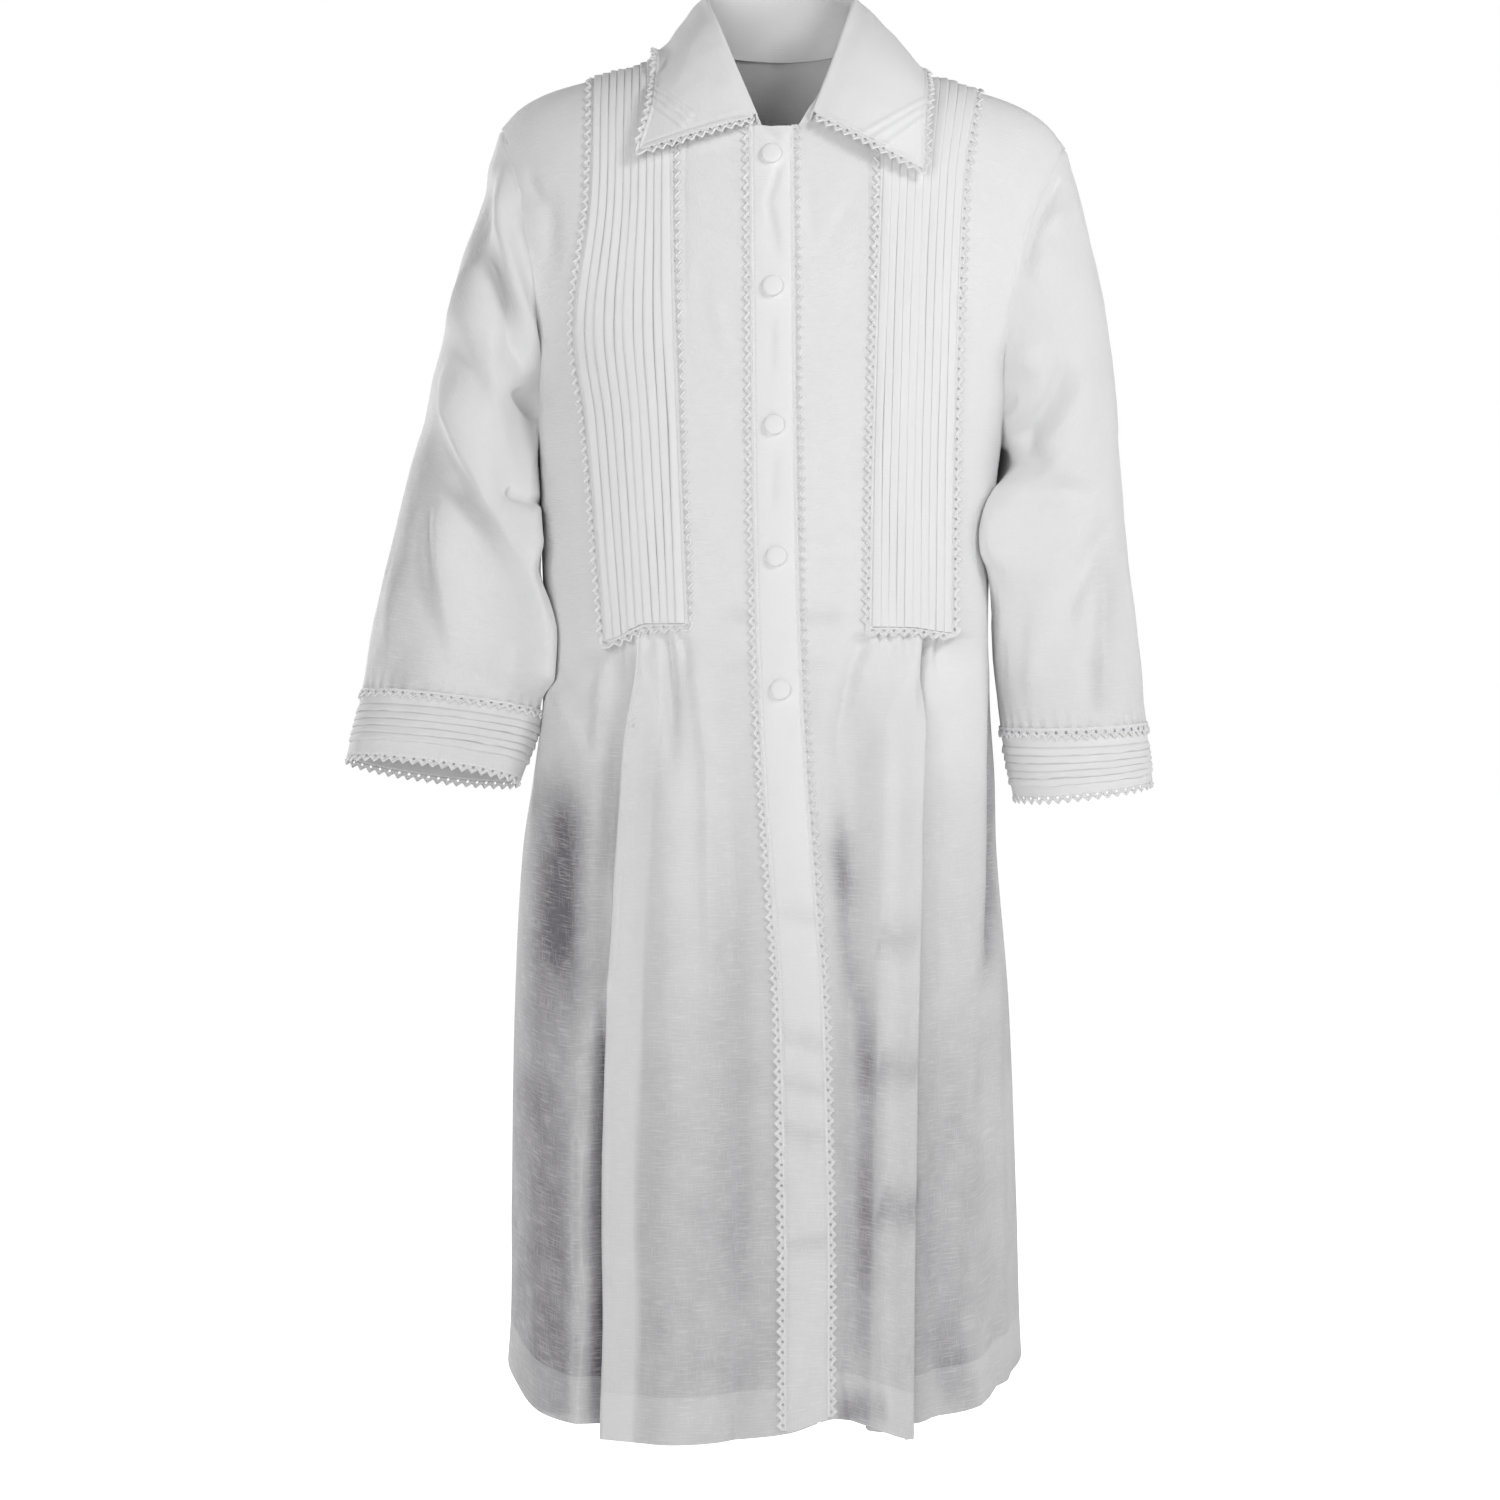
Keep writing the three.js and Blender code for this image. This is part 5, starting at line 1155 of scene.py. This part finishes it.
def besideBody(place, clear):
    # Move points that come nearer than this to the body's sides straight out from its middle line
    x, y, z = place[..., 0], place[..., 1], place[..., 2]
    middle = readTable(bodySections, "middle", z)
    depth, power = depthAt(z, y), body["power"]
    inside = (np.abs(x - middle) / (readTable(bodySections, "half", z) + clear)) ** power
    inside = np.maximum(inside + (np.abs(y) / (depth + clear)) ** power, 1e-3)
    out = np.where((inside < 1) & (z < body["underarm"] + 40), inside ** (-1 / power), 1.0)
    return points(middle + (x - middle) * out, y * out, z)


def sleevePiece(name):
    # A wide tube round the arm: each point of the ovals moved out by the folds on its half
    shape, columns, end = sleeveSections[name], sleeveSections["columns"], sleeveSections["endRow"]
    turn = np.linspace(0, 2 * np.pi, columns, endpoint=False)[None, :]
    row = np.concatenate([np.linspace(0, 0.3, 9)[:-1], np.linspace(0.3, end, sleeveSections["rows"])])[:, None]
    grid = sleevePoint(name, row, turn)
    x, z, normals = grid[..., 0], grid[..., 2], sleeveNormal(name, row, turn)
    facing = ease((np.sin(turn) + 0.7) / 1.4)
    # Sideways and forward shifts: each on its own part of the way round, and none at the armhole and cuff
    cuffward = 1 - ease((row - 7.2) / 0.75)
    shift = readTable(sleeveInner[name], "x", z) * hill(turn - 2.25, 0.5)
    shift = shift + readTable(sleeveEdge[name], "x", z) * hill(turn - np.pi, 0.7)
    rear = sleeveSections["rearLeast"] + shape["rear"] * hill(z - sleeveSections["rearAt"], 34)
    shift = shift - shape["sign"] * rear * ease(row / 2) * hill(turn - 4.0, 0.45)
    forward = readTable(sleeveForward[name], "y", z) * hill(turn - 3.0, 0.75)
    lift = mix(foldField(x, z, sleeveFolds[name + "Back"]), foldField(x, z, sleeveFolds[name]), facing)
    lift = sleeveSections["foldScale"] * lift
    lift = lift + 1.6 * crumple(x / 44 + facing * 7, z / 60, 91) + 0.3 * crumple(x / 14 + facing * 5, z / 16, 93)
    gather = np.sin(turn * sleeveSections["gathers"] + 3 * softNoise(turn * 3, row, 95)) * hill(end - row, 0.28)
    lift = lift * mix(0.12, 1, cuffward) * ease((row + 0.1) / 0.5) + sleeveSections["gatherRise"] * gather
    grid = grid + normals * lift[..., None]
    grid[..., 0] += shift * cuffward * ease(row / 0.9)
    grid[..., 1] -= forward * cuffward * ease(row / 0.9)
    grid = mix(grid, besideBody(grid, sleeveSections["clear"]), ease(row / 1.2)[..., None])
    # Its edge is tucked under the panels at the armhole
    tucked = sleeveSections["underSeam"] * (1 - ease(row / 0.12))
    grid -= normals * tucked[..., None] * 0.6
    grid[..., 0] -= shape["sign"] * tucked
    # See-through grey, a little more low on the arm, and painted shade along the folds on the front
    sheerAndShade = 0.08 + 0.04 * below(z, -560, 80) + foldField(x, z, sleeveShades[name]) * facing
    shown = {"sheerAndShade": sheerAndShade, "away": 9.0, "along": 0.0}
    return sewnPiece("sleeve" + name.capitalize(), ["sleeve_" + name], grid, (columns // 4, (0, -1, 0)),
                     clothThick, singleLinen, shown, wrapped=True)


sleeves = {name: sleevePiece(name) for name in ("right", "left")}
print("sleeves made")

cuffShape = {
    # The right cuff takes more painted shade than the left; footShade is painted shade in the groove at each tuck's
    # foot
    "sheerAndShade": {"right": 0.22, "left": 0.08}, "footShade": 0.45, "columns": 150,
    "tucks": 5, "first": 11, "pitch": 6.8, "rise": 1.9, "lift": 0.5, "thick": 0.9,
    # down one tuck, as a share of the pitch, and how much of its height it has there
    "share": [0.0, 0.25, 0.55, 0.8, 0.93, 0.95, 0.84, 0.78],
    "risen": [0.06, 0.5, 0.82, 1.0, 0.88, 0.6, 0.35, 0.08],
}


def cuffLength(name):
    # Millimetres down the arm in the sleeve's last row, between the middles of its two rings
    ends = [(sleevePoint(name, row, 0.0) + sleevePoint(name, row, np.pi)) / 2 for row in (8.0, 9.0)]
    return float(np.linalg.norm(ends[1] - ends[0]))


def cuffPlace(name, down, turn, lift):
    # A point of the cuff: millimetres down from its upper edge, turn round the arm, height above it
    row = sleeveSections["cuffRow"] + down / cuffLength(name)
    return sleevePoint(name, row, turn) + sleeveNormal(name, row, turn) * np.asarray(lift)[..., None]


def cuffWave(turn, down):
    # Soft waves of less than a millimetre in the cuff and in the lace on it
    return 0.9 * softNoise(turn * 3.5, down / 40, 103)


def cuffPiece(name):
    # A straight band with tucks round it, their free edges downwards
    first, pitch, count = cuffShape["first"], cuffShape["pitch"], cuffShape["tucks"]
    tucks = (first + pitch * (np.arange(count)[:, None] + np.array(cuffShape["share"]))).ravel()
    last = first + pitch * count
    down = np.concatenate([np.linspace(0, first - 1, 7), tucks, np.linspace(last, cuffLength(name), 8)])[:, None]
    risen = np.pad(np.tile(cuffShape["risen"], count), (7, 8))[:, None]
    foot = (risen > 0) & (risen < 0.1)
    rise = risen * cuffShape["rise"]
    turn = np.linspace(0, 2 * np.pi, cuffShape["columns"], endpoint=False)[None, :]
    number = np.floor((down - first) / pitch)
    uneven = 0.7 * softNoise(turn * 6, number * 2.3, 101) * (rise > 1.1)
    rise = rise * (1 + 0.25 * softNoise(turn * 5, number * 1.7, 105))
    grid = cuffPlace(name, down + uneven, turn, cuffShape["lift"] + rise + cuffWave(turn, down))
    shown = {"sheerAndShade": cuffShape["sheerAndShade"][name] + cuffShape["footShade"] * foot, "away": 9.0, "along": 0.0}
    return sewnPiece("cuff" + name.capitalize(), ["cuff_" + name], grid,
                     (cuffShape["columns"] // 4, (0, -1, 0)), cuffShape["thick"], doubleLinen, shown, wrapped=True)


def cuffLace(name, title, node, start, lift):
    # Lace round a cuff: along it becomes a turn, by the length of the ring that it lies on
    turn = np.linspace(0, 2 * np.pi, 721)
    reached = reachedAlong(cuffPlace(name, np.full(turn.shape, start), turn, np.full(turn.shape, lift)))

    def place(s, t, h):
        # Round the cuff to this turn, and down from where the lace starts
        around = np.interp(s, reached, turn)
        return cuffPlace(name, start + t, around, lift + h + cuffWave(around, start + t))

    return laceStrip(title + name.capitalize(), reached[-1], place, node + name, (0, -1, 0), closed=True,
                     seed=5 if name == "right" else 6)


cuffs = {name: cuffPiece(name) for name in ("right", "left")}
cuffEdges = {name: cuffLace(name, "laceCuff", "lace_cuff_", cuffLength(name) - 0.4, 0.4) for name in cuffs}
cuffInserts = {name: cuffLace(name, "laceInsert", "lace_insert_", -4.2, 1.6) for name in cuffs}
print("cuffs made")

# The collar's stations from the middle of the back to each front end: the fold line and the free edge
seamShares = [0, 0.17, 0.34, 0.5, 0.62, 0.74, 0.86, 1]
collarStations = {
    "right": {
        "at": [k / 7 for k in range(8)], "seam": seamShares,
        "foldX": [0, -34, -57, -65, -63, -54, -39, -20], "foldY": [60, 52, 31, 0, -30, -58, -82, -102],
        "foldZ": [38, 37, 34, 26, 12, -12, -52, -100], "edgeX": [0, -50, -90, -105, -106, -108, -112, -123],
        "edgeY": [98, 94, 66, 18, -34, -72, -92, -101], "edgeZ": [-42, -42, -40, -33, -41, -63, -93, -130],
    },
    "left": {
        "at": [k / 7 for k in range(8)], "seam": seamShares,
        "foldX": [0, 34, 58, 68, 67, 60, 47, 30], "foldY": [60, 52, 31, 0, -30, -58, -83, -103],
        "foldZ": [38, 37, 34, 26, 12, -12, -52, -98], "edgeX": [0, 51, 94, 115, 129, 131, 128, 127],
        "edgeY": [98, 94, 66, 18, -32, -72, -94, -104], "edgeZ": [-42, -42, -41, -38, -49, -71, -105, -147],
    },
    # the bulge of its fall and the roll over its fold; how clear of the panels it and its lace stay
    "bulge": 5, "roll": 4, "clear": 6, "laceClear": 4.0, "thick": 1.3,
    "inward": 2.4, "raised": -0.8,  # its seam, from the neckline's edge
    # of all its columns, the fewer ones behind lie between these shares; the middle is rounded this far out
    "rear": 0.62, "rounded": 0.08, "stitchIn": 2.2, "stitchDeep": 0.35, "sheerAndShade": 0.05, "rightShade": 0.16,
}
collarTucks = [  # three raised tucks across each point, parallel to its front edge
    ([(-117, -68), (-75, -103)], (1.0, 2.6), 2.2, (0.05, 0.12)),
    ([(-118, -75), (-78, -109)], (1.0, 2.6), 2.2, (0.05, 0.12)),
    ([(-119, -83), (-83, -114.5)], (1.0, 2.6), 2.2, (0.05, 0.12)),
    ([(138, -80), (71, -121)], (2.6, 1.0), 1.2, (0.05, 0.12)),
    ([(138, -87), (76, -129)], (2.6, 1.0), 1.2, (0.05, 0.12)),
    ([(138, -95), (85, -137)], (2.6, 1.0), 1.2, (0.05, 0.12)),
]


def collarLines(share):
    # Seam, fold and free edge at a share of the collar: -1 and 1 at the front ends, 0 at the back
    read = lambda key: eitherSide(share, [readTable(collarStations[side], key, np.abs(share), by="at")
                                          for side in ("right", "left")])
    fold, edge = (points(*(read(line + axis) for axis in "XYZ")) for line in ("fold", "edge"))
    return neckSeam(np.where(share < 0, -1, 1), read("seam"), np.abs(fold[..., 0])), fold, edge


def neckSeam(sign, share, frontEnd):
    # The neckline by its share from the middle of the back, 0, past the neck point, 0.5, to the front, 1
    facing = np.where(share < 0.5, 1, -1)
    reach = body["neckHalf"] * np.sin(np.where(share < 0.5, share, 1 - share) * np.pi)
    x = sign * np.where(share < 0.5, reach, np.maximum(reach, frontEnd * ease((share - 0.86) / 0.14)))
    inward = collarStations["inward"]
    z = neckHeight(x, facing)
    moved = points(-x / np.hypot(x, 12) * inward, -facing * 0.5 * inward, collarStations["raised"])
    return bodyPoint(turnAt(x, z), z, facing) + moved


def clearOfBody(place, clear):
    # Move points of the collar out of the panels made thicker by this: each needs to go so far out or so
    # far up to be clear of them, and moves square to the line between those two
    for _ in range(2):
        x, y, z = place[..., 0], place[..., 1], place[..., 2]
        facing = np.where(y < 0, -1, 1)
        aside = np.abs(x - readTable(bodySections, "middle", z)) / readTable(bodySections, "half", z)
        depth = depthAt(z, y) * (1 - np.clip(aside, 0, 1) ** body["power"]) ** (1 / body["power"]) + clear
        ridge, power = shoulderHeight(x) + clear - body["chest"], body["shoulderPower"]
        rise, reach = np.clip((z - body["chest"]) / ridge, 0, 1), np.clip(np.abs(y) / depth, 0, 1)
        out = np.maximum(depth * (1 - rise ** power) ** (1 / power) - np.abs(y), 0)
        up = np.maximum(body["chest"] + ridge * (1 - reach ** power) ** (1 / power) - z, 0)
        inNeck = ease((body["neckHalf"] - np.abs(x)) / 8) * ease((z - neckHeight(x, facing)) / 8)
        share = (1 - inNeck) * out * up / np.maximum(out ** 2 + up ** 2, 1e-9)
        place = points(x, y + facing * up * share, z + out * share)
    return place


def throughPoints(knots, at, t):
    # A smooth curve through knots: cubic between them, each slope taken from the two neighbours
    at = np.array(at, float)
    slope = np.gradient(knots, at, axis=0)
    k = np.clip(np.searchsorted(at, t, side="right") - 1, 0, len(at) - 2)
    step = (at[k + 1] - at[k])[:, None, None]
    u = ((t - at[k]) / (at[k + 1] - at[k]))[:, None, None]
    bend = u * (1 - u) ** 2 * slope[k] - u * u * (1 - u) * slope[k + 1]
    return mix(knots[k], knots[k + 1], u * u * (3 - 2 * u)) + step * bend


def fallPoint(share, along):
    # The fall of the collar, from the fold to the free edge, bulging a little outwards
    _, fold, edge = collarLines(share)
    outward = unit(fold * np.array([1.0, 1.0, 0.0]))
    along = np.broadcast_to(np.asarray(along, float), share.shape)
    roomy = collarStations["roll"] * 0.6 * np.minimum(1, along / 0.1)
    bulge = collarStations["bulge"] * np.sin(np.pi * along)
    place = mix(fold, edge, along[..., None]) + outward * (roomy + bulge)[..., None]
    return clearOfBody(place, collarStations["clear"])


def collarGrid(share, fine):
    # Up the stand from the seam, over the fold and down the fall, through a few points on each
    seam, fold, _ = collarLines(share)
    outward = unit(fold * np.array([1.0, 1.0, 0.0]))
    inner = fold - outward * 1.6 - np.array([0, 0, 2.2])
    knots = [seam, mix(seam, inner, 0.5) - outward * 0.6, inner, fold + outward * 0.6 + np.array([0, 0, 0.8])]
    falls = [0.06, 0.16, 0.32, 0.5, 0.68, 0.85, 1.0]
    knots += [fallPoint(share, along) for along in falls]
    at = [-0.36, -0.2, -0.05, 0.0] + falls
    return throughPoints(np.stack(knots), at, fine)


def collarPiece():
    # One piece all round: rows from the seam over the fold to the free edge, columns from end to end
    rear = collarStations["rear"]
    share = np.concatenate([np.linspace(-1, -rear, 94)[:-1], np.linspace(-rear, rear, 101)[:-1],
                            np.linspace(rear, 1, 94)])
    fine = np.concatenate([np.linspace(-0.36, -0.08, 10)[:-1], np.linspace(-0.08, 0.08, 13)[:-1],
                           np.linspace(0.08, 1, 60)])
    middle, centre = np.searchsorted(fine, 0.53), len(share) // 2
    outwards = (centre, (0, 1, 0))
    grid = collarGrid(share, fine)
    fine = fine[:, None]
    # Rounded over the middle of the back, where the tables of the two halves meet
    weights = np.hanning(19)[1:-1] / np.hanning(19).sum()
    rounded = sum(weight * np.roll(grid, k - len(weights) // 2, axis=1) for k, weight in enumerate(weights))
    grid = mix(grid, rounded, np.exp(-((share / collarStations["rounded"]) ** 4))[None, :, None])
    fallen = ease((fine - 0.02) / 0.1)
    x, y, z = (grid[..., k] for k in range(3))
    # Distances from the free edge and from the front ends, and from the row of stitches beside them
    edgeIn = (1 - fine) * np.linalg.norm(grid[-1] - grid[middle], axis=-1) / (1 - fine[middle])
    endIn = np.minimum(share + 1, 1 - share) * 190
    seamAway = np.minimum(np.abs(np.minimum(edgeIn, endIn) - collarStations["stitchIn"]), 9)
    soft = 1.2 * crumple(share * 9, fine * 2.4, 121) + 0.25 * crumple(x / 13, z / 13, 123)
    soft = soft * (1 - ease((fine - 0.9) / 0.1) * 0.6)
    lift = foldField(x, z, collarTucks) * (y < -30) - collarStations["stitchDeep"] * hill(seamAway, 0.9) + soft
    grid = grid + gridNormals(grid, outwards) * (lift * fallen)[..., None]
    # Sheer grey, and painted shade on the fall of the right side
    shown = {"sheerAndShade": collarStations["sheerAndShade"] + collarStations["rightShade"] * ease((-x - 20) / 40) * fallen,
             "away": np.maximum(seamAway, 9 * (1 - fallen))}
    return sewnPiece("collarPiece", ["collar", "collar_stand"], grid, outwards,
                     collarStations["thick"], collarLinen, shown, stitched=0)


collar = collarPiece()


def collarLace():
    # Lace round the free edges: down the right front end, round the back and up the left front end
    ends, between = np.linspace(0.03, 1, 90)[:-1], np.linspace(-1, 1, 500)
    share = np.concatenate([np.full(len(ends), -1.0), between, np.full(len(ends), 1.0)])
    along = np.concatenate([ends, np.ones(len(between)), ends[::-1]])
    edge = fallPoint(share, along)
    inside = fallPoint(np.sign(share) * np.maximum(0, np.abs(share) - 0.05), along * 0.88)
    reached = reachedAlong(edge)
    even = np.arange(0, reached[-1], 1.0)
    edge, inside = resampled(even, reached, edge), resampled(even, reached, inside)
    tangent = unit(smoothed(np.gradient(edge, axis=0), 21))
    out = edge - inside
    out = unit(smoothed(unit(out - tangent * np.sum(out * tangent, axis=1, keepdims=True)), 21))
    normal = unit(np.cross(tangent, out))
    upwards = normal[:, 2] + np.sign(edge[:, 1]) * normal[:, 1] * 0.5
    normal = normal * np.where(upwards < 0, -1, 1)[:, None]

    def place(s, t, h):
        # From the collar's edge, in its plane, and clear of the body
        at = lambda grid: resampled(s, even, grid)
        base = clearOfBody(at(edge) + at(out) * (t - 0.5)[..., None], collarStations["laceClear"])
        return base + at(normal) * (h + 0.1)[..., None]

    return laceStrip("laceCollar", even[-1], place, "lace_collar", (0, 0.5, 1), seed=7)


collarEdge = collarLace()
print("collar made")

buttonShape = {
    "heights": [-136, -255, -379, -496, -614], "radius": 9.3, "height": 6.4, "around": 40,  # 40 points round
    # from the shank out under the rim and over the top, as shares of the radius and height
    "profile": [(0.005, 0.12), (0.4, 0.12), (0.7, 0.12), (0.84, 0.15), (0.94, 0.22), (0.99, 0.34), (1.0, 0.48),
                (0.985, 0.62), (0.95, 0.74), (0.89, 0.83), (0.8, 0.895), (0.66, 0.94), (0.48, 0.97), (0.28, 0.99),
                (0.12, 1.0), (0.005, 1.0)],
    "pleats": 13, "pleatDeep": 0.018, "seat": 0.6,  # cloth gathered under the rim; how far up it sits
}


def buttonPiece(number, z):
    # A covered button: a profile turned round its axis, domed on top, with the cloth drawn under its rim
    size = (buttonShape["radius"], buttonShape["height"])
    radius, height = (np.array(buttonShape["profile"]) * size).T[..., None]
    turn = np.linspace(0, 2 * np.pi, buttonShape["around"], endpoint=False)[None, :]
    pleat = 1 + buttonShape["pleatDeep"] * np.cos(turn * buttonShape["pleats"] + number) * hill(height - 1.2, 1.6)
    local = points(radius * np.cos(turn) * pleat, radius * np.sin(turn) * pleat, height)
    z = np.array(float(z))
    x = placketX(z)
    seat = onFront(x, z, np.array(placketShape["lift"] + buttonShape["seat"]))
    axis = bodyNormal(turnAt(x, z), z, -1)
    right = unit(np.cross([0.0, 0.0, -1.0], axis))
    grid = seat + local @ np.stack([right, unit(np.cross(right, axis)), axis])
    at = np.arange(local[..., 0].size).reshape(local.shape[:2])
    after = np.roll(at, -1, axis=1)
    faces = np.stack([at[:-1], after[:-1], after[1:], at[1:]], axis=-1).reshape(-1, 4)
    piece = addMesh(f"coveredButton{number}", grid.reshape(-1, 3) / 1000, faces,
                    local[..., :2].reshape(-1, 2) / 1000, buttonLinen, {"sheerAndShade": np.zeros(at.size)})
    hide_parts(f"button_{number}")
    return piece


buttons = [buttonPiece(k + 1, z) for k, z in enumerate(buttonShape["heights"])]
print("buttons made")

# Floor, lights and camera
stageLook = {"floorZ": -1.45, "floorHalf": 60, "world": 0.1, "floorSeen": 0.95, "floorGlow": 0.1}
# Each light's name, place, what it points at, size across and power
lamps = [
    ("keyLight", (1.25, -1.55, 0.75), (0, 0, -0.4), 0.8, 16.5),
    ("sideLight", (2.6, -0.7, 0.1), (0, 0, -0.5), 1.4, 13.5),
    ("fillLight", (-1.1, -2.9, -0.1), (0, 0, -0.5), 1.8, 34),
    ("backLight", (-2.4, 1.9, 0.5), (0, 0, -0.5), 1.2, 58),
    ("backSideLight", (2.4, 1.6, 0.2), (0, 0, -0.5), 1.4, 14),
]


def plainFloor():
    # A wide level square, nearly white to the camera and dimmer in what it gives the cloth
    material = newMaterial("plain_pale_floor")
    seen = addNode(material, "ShaderNodeLightPath").outputs["Is Camera Ray"]
    glow = addNode(material, "ShaderNodeMapRange", {}, Value=seen, To_Min=stageLook["floorGlow"],
                   To_Max=stageLook["floorSeen"]).outputs[0]
    look = addNode(material, "ShaderNodeBsdfPrincipled", {}, Base_Color=hexColour("#FAFAFA"), Roughness=0.9,
                   Emission_Color=hexColour("#FFFFFF"), Emission_Strength=glow).outputs[0]
    addNode(material, "ShaderNodeOutputMaterial", {}, Surface=look)
    half, z = stageLook["floorHalf"], stageLook["floorZ"]
    mesh = bpy.data.meshes.new("floor")
    mesh.from_pydata([(-half, -half, z), (half, -half, z), (half, half, z), (-half, half, z)], [], [(0, 1, 2, 3)])
    mesh.materials.append(material)
    floor = bpy.data.objects.new("floor", mesh)
    bpy.context.scene.collection.objects.link(floor)


def areaLight(name, place, target, size, power):
    # A round light, tilted and turned by the angles of the line from its target to its place
    lamp = bpy.data.lights.new(name, "AREA")
    lamp.shape, lamp.size, lamp.energy = "DISK", size, power
    light = bpy.data.objects.new(name, lamp)
    bpy.context.scene.collection.objects.link(light)
    away = np.array(place) - np.array(target)
    flat = math.hypot(away[0], away[1])
    light.location = place
    light.rotation_euler = (math.atan2(flat, away[2]), 0, math.atan2(away[1], away[0]) + math.pi / 2)


def softWorld():
    # White where the camera looks past everything, and a soft grey light on the cloth
    world = bpy.data.worlds.new("softStudio")
    bpy.context.scene.world = world
    world.use_nodes = True
    world.node_tree.nodes.clear()
    seen = addNode(world, "ShaderNodeLightPath").outputs["Is Camera Ray"]
    strength = addNode(world, "ShaderNodeMapRange", {}, Value=seen,
                       To_Min=stageLook["world"], To_Max=1.0).outputs[0]
    sky = addNode(world, "ShaderNodeBackground", {}, Color=(1, 1, 1, 1), Strength=strength).outputs[0]
    addNode(world, "ShaderNodeOutputWorld", {}, Surface=sky)


plainFloor()
softWorld()
for lamp in lamps:
    areaLight(*lamp)

lens = bpy.data.cameras.new("camera")
lens.lens, lens.sensor_width, lens.clip_end = 88.7, 36, 200
camera = bpy.data.objects.new("camera", lens)
camera.location, camera.rotation_euler = (-0.0258, -3.4, -0.667), (math.pi / 2, 0, 0)
bpy.context.scene.collection.objects.link(camera)
bpy.context.scene.camera = camera
bpy.context.scene.view_settings.view_transform = "Standard"
print("stage, lights and camera made")
